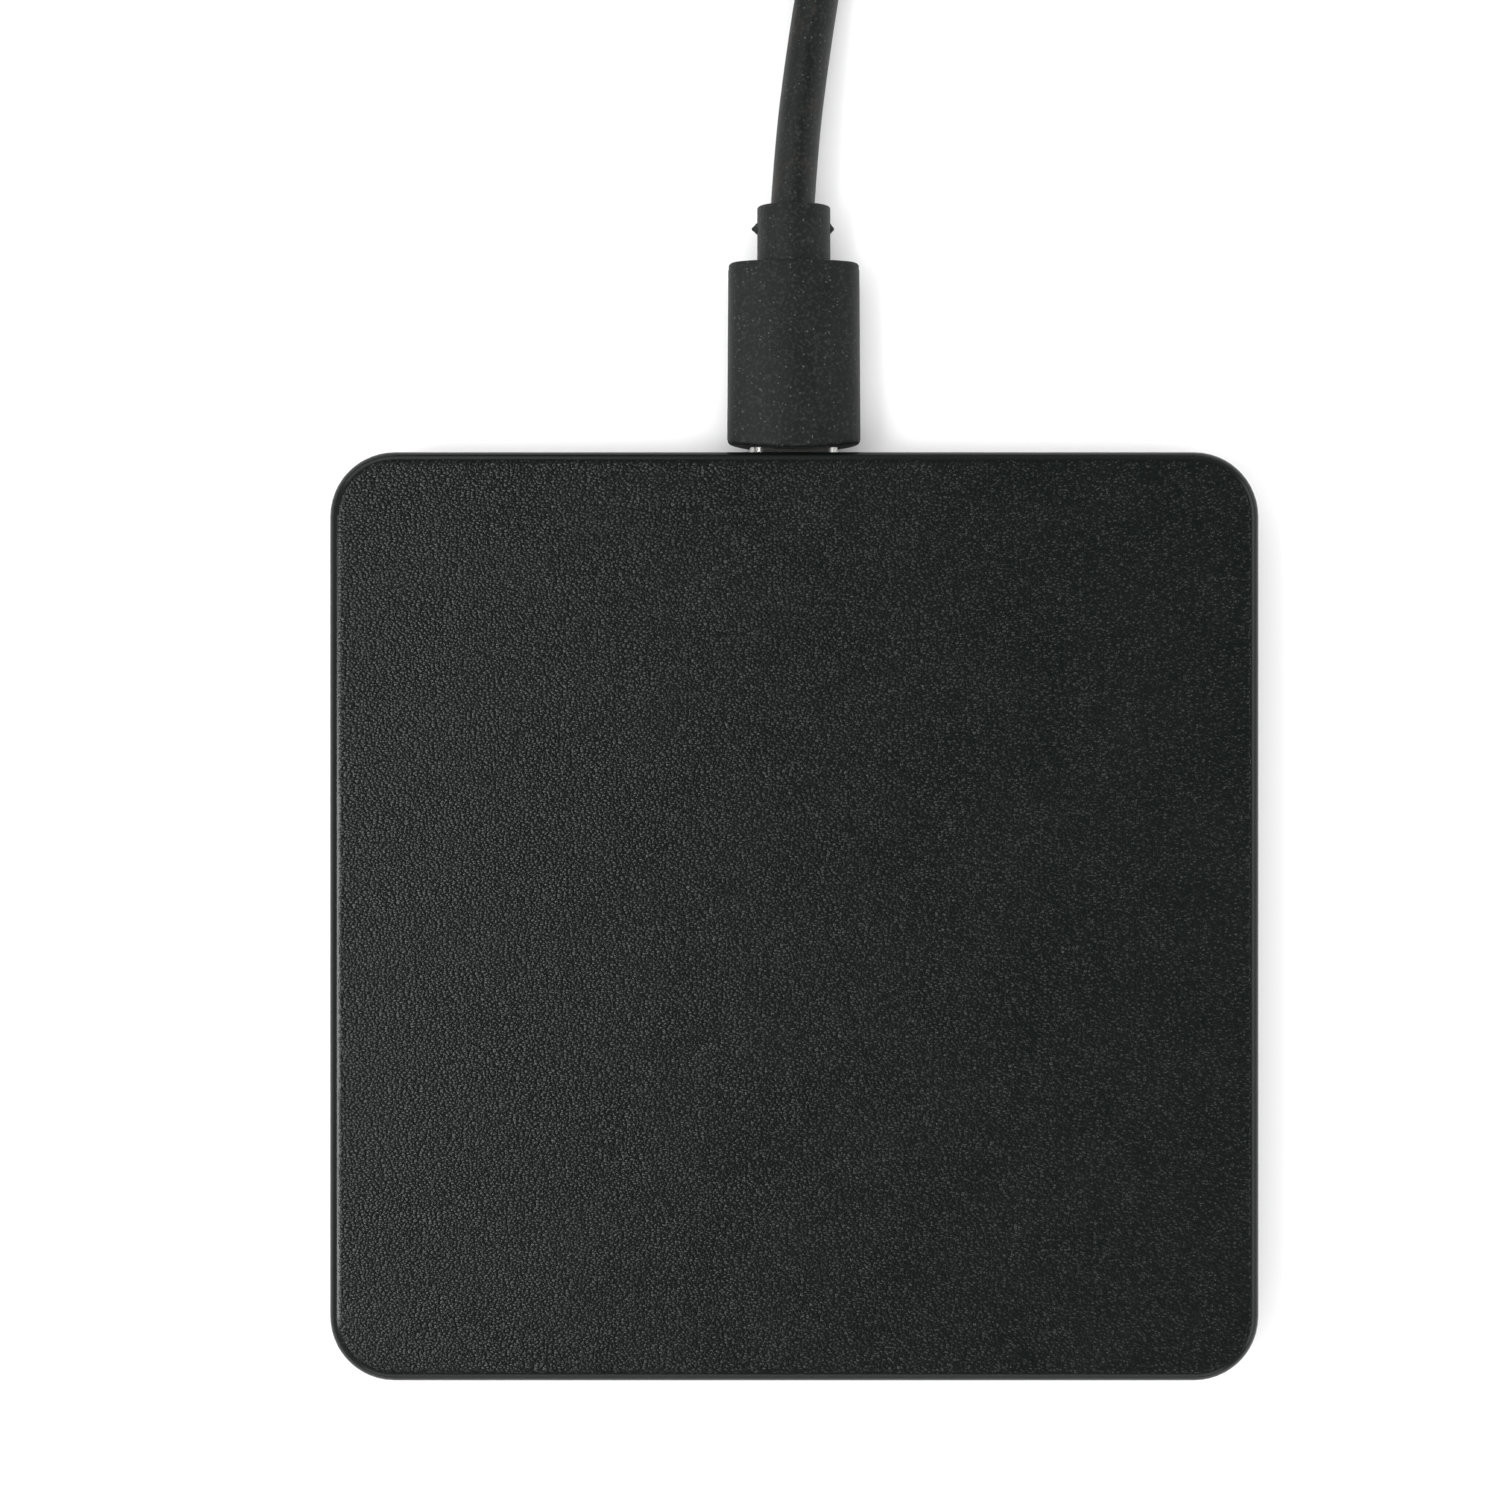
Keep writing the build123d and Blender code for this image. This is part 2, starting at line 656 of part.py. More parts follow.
with BuildPart() as receptacle_tongue:
    with BuildSketch(port_plane(receptacle_base_front)):
        SlotOverall(receptacle_opening_width, receptacle_opening_height)
    extrude(amount=receptacle_base_length)
    with BuildSketch(port_plane(tongue_tip)):
        Rectangle(tongue_width, tongue_thickness)
    extrude(amount=tongue_tip - receptacle_back)
    add(receptacle_contacts.part, mode=Mode.SUBTRACT)
receptacle_tongue.part.label = "receptacle_tongue"
export_step(receptacle_tongue.part, "parts/receptacle_tongue.step")

# ---------------------------------------------------------------- supply plug

with BuildPart() as plug_shell:
    with BuildSketch(port_plane(overmould_front + plug_shell_tail)):
        SlotOverall(plug_shell_width, plug_shell_height)
        SlotOverall(
            plug_shell_width - 2 * plug_shell_wall,
            plug_shell_height - 2 * plug_shell_wall,
            mode=Mode.SUBTRACT,
        )
    extrude(amount=plug_shell_length + plug_shell_tail)
plug_shell.part.label = "plug_shell"
export_step(plug_shell.part, "parts/plug_shell.step")

plug_slot_height = tongue_thickness + 2 * plug_slot_clearance + 2 * contact_thickness
plug_slot_width = tongue_width + 2 * plug_slot_clearance
plug_slot_end = tongue_tip + plug_slot_end_gap
plug_insulator_front = plug_tip + plug_insulator_setback
plug_shell_end = overmould_front + plug_shell_tail

with BuildPart() as plug_insulator:
    with BuildSketch(port_plane(plug_shell_end)):
        SlotOverall(plug_shell_width - 2 * plug_shell_wall, plug_shell_height - 2 * plug_shell_wall)
    extrude(amount=plug_shell_end - plug_insulator_front)
    with BuildSketch(port_plane(plug_slot_end)):
        Rectangle(plug_slot_width, plug_slot_height)
    extrude(amount=plug_slot_end - plug_insulator_front, mode=Mode.SUBTRACT)
plug_insulator.part.label = "plug_insulator"
export_step(plug_insulator.part, "parts/plug_insulator.step")

# Contact strips on both walls of the slot
with BuildPart() as plug_contacts:
    with BuildSketch(port_plane(plug_slot_end)):
        for side_z in (-1, 1):
            with Locations((0, side_z * (plug_slot_height - contact_thickness) / 2)):
                with GridLocations(contact_pitch, 0, contact_count, 1):
                    Rectangle(contact_width, contact_thickness)
    extrude(amount=plug_slot_end - plug_insulator_front - contact_setback)
plug_contacts.part.label = "plug_contacts"
export_step(plug_contacts.part, "parts/plug_contacts.step")

with BuildPart() as plug_board:
    with BuildSketch(port_plane(plug_shell_end + plug_board_length)):
        Rectangle(plug_board_width, plug_board_thickness)
    extrude(amount=plug_board_length)
plug_board.part.label = "plug_board"
export_step(plug_board.part, "parts/plug_board.step")

with BuildPart() as plug_inner_mould:
    with BuildSketch(port_plane(plug_shell_end + plug_mould_length)):
        RectangleRounded(
            overmould_width - 2 * plug_mould_side,
            overmould_height - 2 * plug_mould_cover,
            plug_mould_corner,
        )
    extrude(amount=plug_mould_length)
    fillet(plug_inner_mould.faces().sort_by(Axis.Y)[-1].edges(), plug_mould_edge_radius)
plug_mould_space = plug_inner_mould.part
with BuildPart() as plug_inner_mould:
    add(plug_mould_space)
    add(plug_board.part, mode=Mode.SUBTRACT)
plug_inner_mould.part.label = "plug_inner_mould"
export_step(plug_inner_mould.part, "parts/plug_inner_mould.step")

with BuildPart() as plug_overmould:
    with BuildSketch(port_plane(overmould_front)):
        add(oval(overmould_width, overmould_height, overmould_end_radius))
    extrude(amount=-overmould_length, taper=overmould_taper)
    overmould_ends = plug_overmould.faces().filter_by(Axis.Y)
    fillet(overmould_ends.edges(), overmould_edge_radius)
    # neck, with the two small pips that the mould leaves at its sides
    with BuildSketch(port_plane(neck_end)):
        add(oval(neck_width, neck_height, neck_end_radius))
    extrude(amount=neck_length)
    fillet(plug_overmould.faces().sort_by(Axis.Y)[-1].edges(), neck_edge_radius)
    for side_x, pip_stand in ((-1, pip_left), (1, pip_right)):
        with BuildSketch(Plane((0, neck_end - pip_place, port_z), z_dir=(side_x, 0, 0))):
            SlotOverall(pip_length, pip_height, rotation=90)
        extrude(amount=neck_width / 2 + pip_stand)
    # spaces for the shell, the inner mould and the cord
    with BuildSketch(port_plane(overmould_front)):
        SlotOverall(plug_shell_width, plug_shell_height)
    extrude(amount=-plug_shell_tail, mode=Mode.SUBTRACT)
    add(plug_mould_space, mode=Mode.SUBTRACT)
    with BuildSketch(port_plane(neck_end)):
        Circle(cord_radius)
    extrude(amount=cord_seat, mode=Mode.SUBTRACT)
plug_overmould.part.label = "plug_overmould"
export_step(plug_overmould.part, "parts/plug_overmould.step")

# ---------------------------------------------------------------- supply lead

# The free stretch from the plug to the wound length, and the tail from there to the far plug.
# Y counts from the neck's end.
lead_route = [
    (-0.2, -cord_seat, port_z),
    (0.25, 6.0, port_z - 0.15),
    (1.15, 13.5, port_z - 0.8),
    (2.45, 22.0, cord_radius + 0.45),
    (3.95, 30.3, cord_radius + 0.05),
    (5.2, 36.65, cord_radius),
]
tail_route = [
    (2.25, 33.0, upper_turn_z + 0.3),
    (6.15, 34.95, upper_turn_z + 0.25),
    (9.95, 37.25, upper_turn_z - 0.2),
    (13.55, 39.8, usb_a_z + 1.15),
    (16.95, 42.6, usb_a_z + 0.25),
    (20.1, 45.65, usb_a_z),
]


def placed(route):
    """The route's points with Y counted from the origin."""
    return [(x, neck_end + y, z) for x, y, z in route]


def bend_radii(points):
    """Radius of each corner's tangent arc: a share of the shorter run, over the tangent of half the turn."""
    radii = []
    for before, corner, after in zip(points, points[1:], points[2:]):
        run_in = Vector(corner) - Vector(before)
        run_out = Vector(after) - Vector(corner)
        half_bend = radians(run_in.get_angle(run_out)) / 2
        radii.append(bend_share * min(run_in.length, run_out.length) / tan(half_bend))
    return radii


for cord_name, route in {"cable_lead": lead_route, "cable_tail": tail_route}.items():
    route_points = placed(route)
    route_radii = bend_radii(route_points)
    with BuildPart() as cord_tube:
        with BuildLine() as cord_path:
            FilletPolyline(*route_points, radius=route_radii)
        cord_wire = cord_path.wire()
        with BuildSketch(Plane(cord_wire @ 0, z_dir=cord_wire % 0)):
            Circle(cord_radius)
        sweep(path=cord_wire)
    cord_tube.part.label = cord_name
    export_step(cord_tube.part, f"parts/{cord_name}.step")
    expected_volume = pi * cord_radius**2 * cord_wire.length
    print(cord_name, "radii", [round(radius, 1) for radius in route_radii])
    print(cord_name, "length", round(cord_wire.length, 1))
    print(cord_name, "volume over section times length", round(cord_tube.part.volume / expected_volume, 4))

# Outer shape of the wound turns: a ring with rounded edges, relieved below where the tie passes
wound_axis = Axis((wound_centre_x, wound_centre_y, 0), (0, 0, 1))
tie_radial = (cos(radians(tie_angle)), sin(radians(tie_angle)), 0)
tie_normal = (sin(radians(tie_angle)), -cos(radians(tie_angle)), 0)
tie_section = Plane((wound_centre_x, wound_centre_y, 0), x_dir=tie_radial, z_dir=tie_normal)
tie_inner_width = wound_width + 2 * tie_clearance
tie_outer_width = tie_inner_width + 2 * tie_thickness
tie_inner_height = wound_height + tie_thickness + tie_clearance
tie_outer_height = tie_inner_height + 2 * tie_thickness

with BuildPart() as cable_coil:
    with BuildSketch(Plane((wound_centre_x, wound_centre_y, 0), x_dir=(1, 0, 0), z_dir=(0, -1, 0))):
        with Locations((wound_mid_radius, wound_height / 2)):
            RectangleRounded(wound_width, wound_height, cord_radius)
    revolve(axis=wound_axis)
    with BuildSketch(tie_section):
        with Locations((wound_mid_radius, 0)):
            Rectangle(tie_outer_width, 2 * tie_thickness)
    extrude(amount=tie_width / 2 + tie_clearance, both=True, mode=Mode.SUBTRACT)
cable_coil.part.label = "cable_coil"
export_step(cable_coil.part, "parts/cable_coil.step")

with BuildPart() as cable_tie:
    with BuildSketch(tie_section):
        with Locations((wound_mid_radius, tie_outer_height / 2)):
            RectangleRounded(tie_outer_width, tie_outer_height, tie_corner_radius + tie_thickness)
            RectangleRounded(tie_inner_width, tie_inner_height, tie_corner_radius, mode=Mode.SUBTRACT)
    extrude(amount=tie_width / 2, both=True)
cable_tie.part.label = "cable_tie"
export_step(cable_tie.part, "parts/cable_tie.step")

# ---------------------------------------------------------------- far plug

heading = radians(usb_a_heading)
usb_a_neck_start = Plane(
    (usb_a_neck_x, neck_end + usb_a_neck_from_neck, usb_a_z),
    x_dir=(-sin(heading), cos(heading), 0),
    z_dir=(cos(heading), sin(heading), 0),
)
usb_a_axis = Axis(usb_a_neck_start.origin, usb_a_neck_start.z_dir)
usb_a_body_end = usb_a_neck_length + usb_a_body_length
usb_a_tip = usb_a_body_end + usb_a_shell_length
usb_a_shell_back = usb_a_body_end - usb_a_shell_tail
usb_a_inner_width = usb_a_shell_width - 2 * usb_a_shell_wall
usb_a_inner_height = usb_a_shell_height - 2 * usb_a_shell_wall
usb_a_inner_corner = usb_a_shell_corner - usb_a_shell_wall
usb_a_insulator_rise = (usb_a_insulator_thickness - usb_a_inner_height) / 2
usb_a_contact_rise = usb_a_insulator_thickness - usb_a_inner_height / 2 - usb_a_contact_thickness / 2
usb_a_insulator_end = usb_a_tip - usb_a_insulator_setback

with BuildPart() as usb_a_shell:
    with BuildSketch(usb_a_neck_start.offset(usb_a_shell_back)):
        RectangleRounded(usb_a_shell_width, usb_a_shell_height, usb_a_shell_corner)
        RectangleRounded(usb_a_inner_width, usb_a_inner_height, usb_a_inner_corner, mode=Mode.SUBTRACT)
    extrude(amount=usb_a_shell_length + usb_a_shell_tail)
    # latch windows in the broad faces
    window_plane = Plane(
        usb_a_neck_start.offset(usb_a_tip - usb_a_window_from_tip).origin,
        x_dir=usb_a_neck_start.x_dir,
        z_dir=(0, 0, 1),
    )
    with BuildSketch(window_plane):
        with GridLocations(usb_a_window_spacing, 0, 2, 1):
            Rectangle(usb_a_window_width, usb_a_window_length)
    extrude(amount=usb_a_shell_height, both=True, mode=Mode.SUBTRACT)
usb_a_shell.part.label = "usb_a_shell"
export_step(usb_a_shell.part, "parts/usb_a_shell.step")

with BuildPart() as usb_a_contacts:
    with BuildSketch(usb_a_neck_start.offset(usb_a_insulator_end - usb_a_insulator_setback)):
        for contact_x in usb_a_contact_places:
            with Locations((contact_x, usb_a_contact_rise)):
                Rectangle(usb_a_contact_width, usb_a_contact_thickness)
    extrude(amount=-usb_a_contact_length)
usb_a_contacts.part.label = "usb_a_contacts"
export_step(usb_a_contacts.part, "parts/usb_a_contacts.step")

with BuildPart() as usb_a_insulator:
    with BuildSketch(usb_a_neck_start.offset(usb_a_shell_back)):
        with Locations((0, usb_a_insulator_rise)):
            Rectangle(usb_a_inner_width - 2 * usb_a_inner_corner, usb_a_insulator_thickness)
    extrude(amount=usb_a_insulator_end - usb_a_shell_back)
    add(usb_a_contacts.part, mode=Mode.SUBTRACT)
usb_a_insulator.part.label = "usb_a_insulator"
export_step(usb_a_insulator.part, "parts/usb_a_insulator.step")

with BuildPart() as usb_a_inner_mould:
    with BuildSketch(usb_a_neck_start.offset(usb_a_shell_back - usb_a_mould_length)):
        RectangleRounded(
            usb_a_body_width - 2 * usb_a_mould_side,
            usb_a_body_height - 2 * usb_a_mould_cover,
            usb_a_mould_corner,
        )
    extrude(amount=usb_a_mould_length)
    fillet(usb_a_inner_mould.faces().sort_by(usb_a_axis)[0].edges(), usb_a_mould_edge_radius)
usb_a_inner_mould.part.label = "usb_a_inner_mould"
export_step(usb_a_inner_mould.part, "parts/usb_a_inner_mould.step")

with BuildPart() as usb_a_overmould:
    with BuildSketch(usb_a_neck_start.offset(usb_a_neck_length)):
        RectangleRounded(usb_a_body_width, usb_a_body_height, usb_a_body_corner)
    extrude(amount=usb_a_body_length)
    fillet(usb_a_overmould.faces().sort_by(usb_a_axis)[0].edges(), usb_a_body_edge_radius)
    fillet(usb_a_overmould.faces().sort_by(usb_a_axis)[-1].edges(), usb_a_body_edge_radius)
    with BuildSketch(usb_a_neck_start):
        Circle(usb_a_neck_diameter / 2)
    extrude(amount=usb_a_neck_length)
    fillet(usb_a_overmould.faces().sort_by(usb_a_axis)[0].edges(), usb_a_neck_edge_radius)
    # spaces for the shell, the inner mould and the cord
    with BuildSketch(usb_a_neck_start.offset(usb_a_shell_back)):
        RectangleRounded(usb_a_shell_width, usb_a_shell_height, usb_a_shell_corner)
    extrude(amount=usb_a_shell_tail, mode=Mode.SUBTRACT)
    add(usb_a_inner_mould.part, mode=Mode.SUBTRACT)
    with BuildSketch(usb_a_neck_start):
        Circle(cord_radius)
    extrude(amount=cord_seat, mode=Mode.SUBTRACT)
usb_a_overmould.part.label = "usb_a_overmould"
export_step(usb_a_overmould.part, "parts/usb_a_overmould.step")
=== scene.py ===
"""Looks of the wireless charging pad: materials, supply cord, twist tie, floor, light and camera.

Everything is in metres in the CAD frame: +Z up, the origin on the table under the pad's centre,
and +Y out of the port.
"""

import json
from math import atan2, cos, pi, radians, sin

import bmesh
import bpy
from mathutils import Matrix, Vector


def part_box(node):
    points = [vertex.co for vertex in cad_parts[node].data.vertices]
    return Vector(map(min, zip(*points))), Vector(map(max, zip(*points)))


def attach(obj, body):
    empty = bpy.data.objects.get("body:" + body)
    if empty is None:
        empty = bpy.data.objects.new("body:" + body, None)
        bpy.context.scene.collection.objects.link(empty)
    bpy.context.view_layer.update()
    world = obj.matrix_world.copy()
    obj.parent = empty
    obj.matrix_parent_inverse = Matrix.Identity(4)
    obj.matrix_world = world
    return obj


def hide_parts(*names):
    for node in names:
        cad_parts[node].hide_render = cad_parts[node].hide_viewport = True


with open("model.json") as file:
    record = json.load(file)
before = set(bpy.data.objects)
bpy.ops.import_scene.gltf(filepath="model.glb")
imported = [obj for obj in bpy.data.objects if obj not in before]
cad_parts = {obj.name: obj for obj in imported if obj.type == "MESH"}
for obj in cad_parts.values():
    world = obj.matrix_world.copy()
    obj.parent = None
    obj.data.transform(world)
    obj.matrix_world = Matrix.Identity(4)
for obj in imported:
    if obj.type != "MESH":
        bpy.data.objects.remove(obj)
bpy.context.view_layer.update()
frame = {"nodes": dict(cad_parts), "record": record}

MM = 0.001
scene = bpy.context.scene

# ---------------------------------------------------------------- camera

camera_x = -4.1 * MM
camera_y = 15.4 * MM
camera_lens = 70.0  # millimetres on a 36 mm sensor
camera_sensor = 36.0
view_width = 138.8 * MM  # seen at view_level
view_level = 7.2 * MM

camera_data = bpy.data.cameras.new("camera")
camera_data.lens = camera_lens
camera_data.sensor_width = camera_sensor
camera_data.clip_start = 0.01
camera = bpy.data.objects.new("camera", camera_data)
camera.location = (camera_x, camera_y, view_level + view_width * camera_lens / camera_sensor)
scene.collection.objects.link(camera)
scene.camera = camera

# ---------------------------------------------------------------- node helpers


def node(tree, kind, inputs=(), **settings):
    """A new node. inputs maps its sockets to plain values or to other nodes' outputs."""
    made = tree.nodes.new(kind)
    for name, value in settings.items():
        setattr(made, name, value)
    for socket, value in dict(inputs).items():
        if isinstance(value, bpy.types.NodeSocket):
            tree.links.new(value, made.inputs[socket])
        else:
            made.inputs[socket].default_value = value
    return made


def maths(tree, operation, *values):
    return node(tree, "ShaderNodeMath", enumerate(values), operation=operation).outputs[0]


def vectors(tree, operation, *values):
    made = node(tree, "ShaderNodeVectorMath", enumerate(values), operation=operation)
    return made.outputs["Value" if operation == "LENGTH" else "Vector"]


def remap(tree, value, low, high, to_low=0.0, to_high=1.0):
    """value from low..high to to_low..to_high, clamped and eased."""
    inputs = {"Value": value, "From Min": low, "From Max": high, "To Min": to_low, "To Max": to_high}
    return node(tree, "ShaderNodeMapRange", inputs, interpolation_type="SMOOTHSTEP").outputs[0]


def mix(tree, factor, first, second):
    made = node(tree, "ShaderNodeMix", data_type="RGBA")
    for socket, value in zip((made.inputs[0], made.inputs[6], made.inputs[7]), (factor, first, second)):
        if isinstance(value, bpy.types.NodeSocket):
            tree.links.new(value, socket)
        else:
            socket.default_value = value
    return made.outputs[2]


def place(tree, stretch=(1, 1, 1), kind="Object"):
    """Coordinates on the piece. stretch makes a pattern that much longer along each axis."""
    coordinates = node(tree, "ShaderNodeTexCoord").outputs[kind]
    squeeze = tuple(1 / share for share in stretch)
    return vectors(tree, "MULTIPLY", coordinates, squeeze)


def noise(tree, where, size, detail=2.0, roughness=0.5):
    """Cloudy pattern around 0.5 whose blobs are about size across, in metres."""
    inputs = {"Vector": where, "Scale": 1 / size, "Detail": detail, "Roughness": roughness}
    return node(tree, "ShaderNodeTexNoise", inputs).outputs["Fac"]


def spots(tree, where, spacing):
    """Distance from the nearest of scattered spots, in spacings, and an even draw from 0 to 1 for it."""
    cells = node(tree, "ShaderNodeTexVoronoi", {"Vector": where, "Scale": 1 / spacing})
    draw = node(tree, "ShaderNodeSeparateColor", {0: cells.outputs["Color"]}).outputs[0]
    return cells.outputs["Distance"], draw


def specks(tree, where, spacing, radius, share):
    """1 on small dots of that radius, spacing apart, of which only that share is there."""
    distance, draw = spots(tree, where, spacing)
    dot = remap(tree, distance, 0.5 * radius / spacing, radius / spacing, 1.0, 0.0)
    return maths(tree, "MULTIPLY", dot, maths(tree, "LESS_THAN", draw, share))


def bump(tree, height, depth, below=None):
    inputs = {"Height": height, "Distance": depth, "Strength": 1.0}
    if below is not None:
        inputs["Normal"] = below
    return node(tree, "ShaderNodeBump", inputs).outputs[0]


def colour(red, green, blue):
    return (red, green, blue, 1.0)


def new_material(name):
    """A material, its node tree and its shader."""
    material = bpy.data.materials.new(name)
    material.use_nodes = True
    tree = material.node_tree
    return material, tree, tree.nodes["Principled BSDF"]


def feed(tree, shader, **inputs):
    """Sets the shader's sockets, by their names with underscores for spaces."""
    for name, value in inputs.items():
        socket = shader.inputs[name.replace("_", " ")]
        if isinstance(value, bpy.types.NodeSocket):
            tree.links.new(value, socket)
        else:
            socket.default_value = value


# ---------------------------------------------------------------- materials of the case

cover_low, cover_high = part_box("top_cover")
cover_half_x = (cover_high.x - cover_low.x) / 2
cover_half_y = (cover_high.y - cover_low.y) / 2
cover_corner = 6.0 * MM
grain_pitch = 0.27 * MM
grain_depth = 0.065 * MM
grain_start = 0.86 * MM  # in from the outline
grain_full = 1.20 * MM


def edge_distance(tree):
    """Distance in from the cover's rounded outline, as seen from above."""
    flat = vectors(tree, "MULTIPLY", vectors(tree, "ABSOLUTE", place(tree)), (1.0, 1.0, 0.0))
    past_corner_centre = vectors(
        tree, "SUBTRACT", flat, (cover_half_x - cover_corner, cover_half_y - cover_corner, 0.0)
    )
    reach = vectors(tree, "LENGTH", vectors(tree, "MAXIMUM", past_corner_centre, (0.0, 0.0, 0.0)))
    return maths(tree, "SUBTRACT", cover_corner, reach)


def cover_plastic():
    """Black moulded plastic: an eroded grain on the charging face, and a smoother rim and side. A random
    share of the grain's peaks is coloured lighter as a painted highlight.
    """
    material, tree, shader = new_material("cover_plastic")
    from_edge = edge_distance(tree)
    on_face = remap(tree, from_edge, grain_start, grain_full)
    from_peak, draw = spots(tree, place(tree, (1.0, 0.85, 1.0)), grain_pitch)
    patches = remap(tree, noise(tree, place(tree), 4.0 * MM, 3.0, 0.6), 0.3, 0.7, 0.88, 1.08)
    peaks = maths(tree, "MULTIPLY", maths(tree, "SUBTRACT", 1.0, from_peak), patches)
    face_height = maths(tree, "MULTIPLY", peaks, on_face)
    # Painted highlight: lighter colour on a random share of the grain's peaks, fading out towards the rim
    glint_tip_share = maths(tree, "MULTIPLY", remap(tree, from_peak, 0.12, 0.36, 1.0, 0.0), draw)
    painted_glint_tips = maths(tree, "MULTIPLY", glint_tip_share, remap(tree, from_edge, 0.3 * MM, 1.3 * MM))
    rim_normal = bump(tree, noise(tree, place(tree), 0.12 * MM, 2.0, 0.5), 0.004 * MM)
    wear = noise(tree, place(tree, (1.0, 1.0, 0.4)), 9.0 * MM, 4.0, 0.6)
    tone = mix(tree, wear, colour(0.0019, 0.0033, 0.0028), colour(0.0025, 0.0040, 0.0034))
    rim_to_face = remap(tree, on_face, 0.0, 1.0, 0.18, 0.33)
    feed(
        tree,
        shader,
        Base_Color=mix(tree, painted_glint_tips, tone, colour(0.0440, 0.0490, 0.0470)),
        Roughness=maths(tree, "ADD", rim_to_face, remap(tree, wear, 0.3, 0.7, -0.02, 0.02)),
        Specular_IOR_Level=remap(tree, from_edge, 0.25 * MM, 0.60 * MM, 0.16, 0.5),
        Normal=bump(tree, face_height, grain_depth, rim_normal),
        IOR=1.43,
    )
    return material


def base_plastic():
    """The same plastic below, with an even fine grain."""
    material, tree, shader = new_material("base_plastic")
    grain = noise(tree, place(tree), 0.22 * MM, 2.0, 0.55)
    wear = noise(tree, place(tree), 7.0 * MM, 4.0, 0.6)
    scuffs = noise(tree, place(tree, (9.0, 0.6, 1.0)), 0.5 * MM, 2.0, 0.5)
    tone = mix(tree, wear, colour(0.0095, 0.0105, 0.0102), colour(0.0125, 0.0138, 0.0133))
    feed(
        tree,
        shader,
        Base_Color=mix(tree, remap(tree, scuffs, 0.68, 0.8, 0.0, 0.5), tone, colour(0.030, 0.031, 0.031)),
        Roughness=remap(tree, wear, 0.3, 0.7, 0.50, 0.60),
        Normal=bump(tree, grain, 0.020 * MM),
        IOR=1.5,
    )
    return material


def foot_rubber():
    """Matt black rubber with a little dust in its fine texture."""
    material, tree, shader = new_material("foot_rubber")
    grain = noise(tree, place(tree), 0.15 * MM, 3.0, 0.6)
    dust = specks(tree, place(tree), 0.8 * MM, 0.09 * MM, 0.35)
    clouds = noise(tree, place(tree), 3.0 * MM)
    tone = mix(tree, clouds, colour(0.011, 0.011, 0.011), colour(0.020, 0.020, 0.019))
    feed(
        tree,
        shader,
        Base_Color=mix(tree, dust, tone, colour(0.10, 0.10, 0.095)),
        Roughness=remap(tree, grain, 0.3, 0.7, 0.72, 0.85),
        Normal=bump(tree, grain, 0.015 * MM),
    )
    return material


# ---------------------------------------------------------------- materials of the plugs and the cord


def elastomer(name, dark, light, roughness, dust_share, brown=0.0):
    """Soft moulded jacket: matt, faintly uneven, with pale dust specks."""
    material, tree, shader = new_material(name)
    grain = noise(tree, place(tree), 0.16 * MM, 3.0, 0.6)
    swirl = noise(tree, place(tree, (1.0, 2.5, 1.0)), 1.6 * MM, 3.0, 0.6)
    dust = maths(
        tree,
        "MAXIMUM",
        specks(tree, place(tree), 0.80 * MM, 0.10 * MM, dust_share),
        specks(tree, place(tree), 0.40 * MM, 0.085 * MM, dust_share),
    )
    tone = mix(tree, remap(tree, swirl, 0.3, 0.7), dark, light)
    mottle = noise(tree, place(tree), 0.30 * MM, 2.0, 0.6)
    tone = mix(tree, remap(tree, mottle, 0.48, 0.70, 0.0, 0.50), tone, colour(0.026, 0.029, 0.027))
    stain = remap(tree, noise(tree, place(tree), 2.4 * MM, 3.0, 0.6), 0.55, 0.75, 0.0, brown)
    tone = mix(tree, stain, tone, colour(0.030, 0.019, 0.013))
    feed(
        tree,
        shader,
        Base_Color=mix(tree, maths(tree, "MULTIPLY", dust, 0.40), tone, colour(0.15, 0.16, 0.15)),
        Roughness=remap(tree, swirl, 0.3, 0.7, roughness, roughness + 0.08),
        Normal=bump(tree, grain, 0.010 * MM),
        Sheen_Weight=0.015,
        Sheen_Roughness=0.4,
        IOR=1.42,
    )
    return material


def plated_metal(name, tone, roughness, along):
    """Plated metal with faint drawing lines along one axis."""
    material, tree, shader = new_material(name)
    stretch = tuple(14.0 if axis == along else 1.0 for axis in range(3))
    lines = noise(tree, place(tree, stretch), 0.10 * MM, 2.0, 0.5)
    clouds = noise(tree, place(tree), 1.8 * MM, 3.0, 0.6)
    feed(
        tree,
        shader,
        Base_Color=mix(tree, clouds, colour(*[0.9 * part for part in tone]), colour(*tone)),
        Metallic=1.0,
        Roughness=remap(tree, lines, 0.3, 0.7, roughness, roughness + 0.05),
        Normal=bump(tree, lines, 0.0006 * MM),
    )
    return material


def moulded(name, dark, light, roughness, grain_size=0.2 * MM, grain_depth=0.004 * MM):
    """Plain moulded or fired material with a fine skin and a slight change of tone."""
    material, tree, shader = new_material(name)
    grain = noise(tree, place(tree), grain_size, 3.0, 0.55)
    clouds = noise(tree, place(tree), 8 * grain_size, 3.0, 0.6)
    feed(
        tree,
        shader,
        Base_Color=mix(tree, clouds, dark, light),
        Roughness=remap(tree, grain, 0.3, 0.7, roughness - 0.04, roughness + 0.05),
        Normal=bump(tree, grain, grain_depth),
    )
    return material


# ---------------------------------------------------------------- materials inside


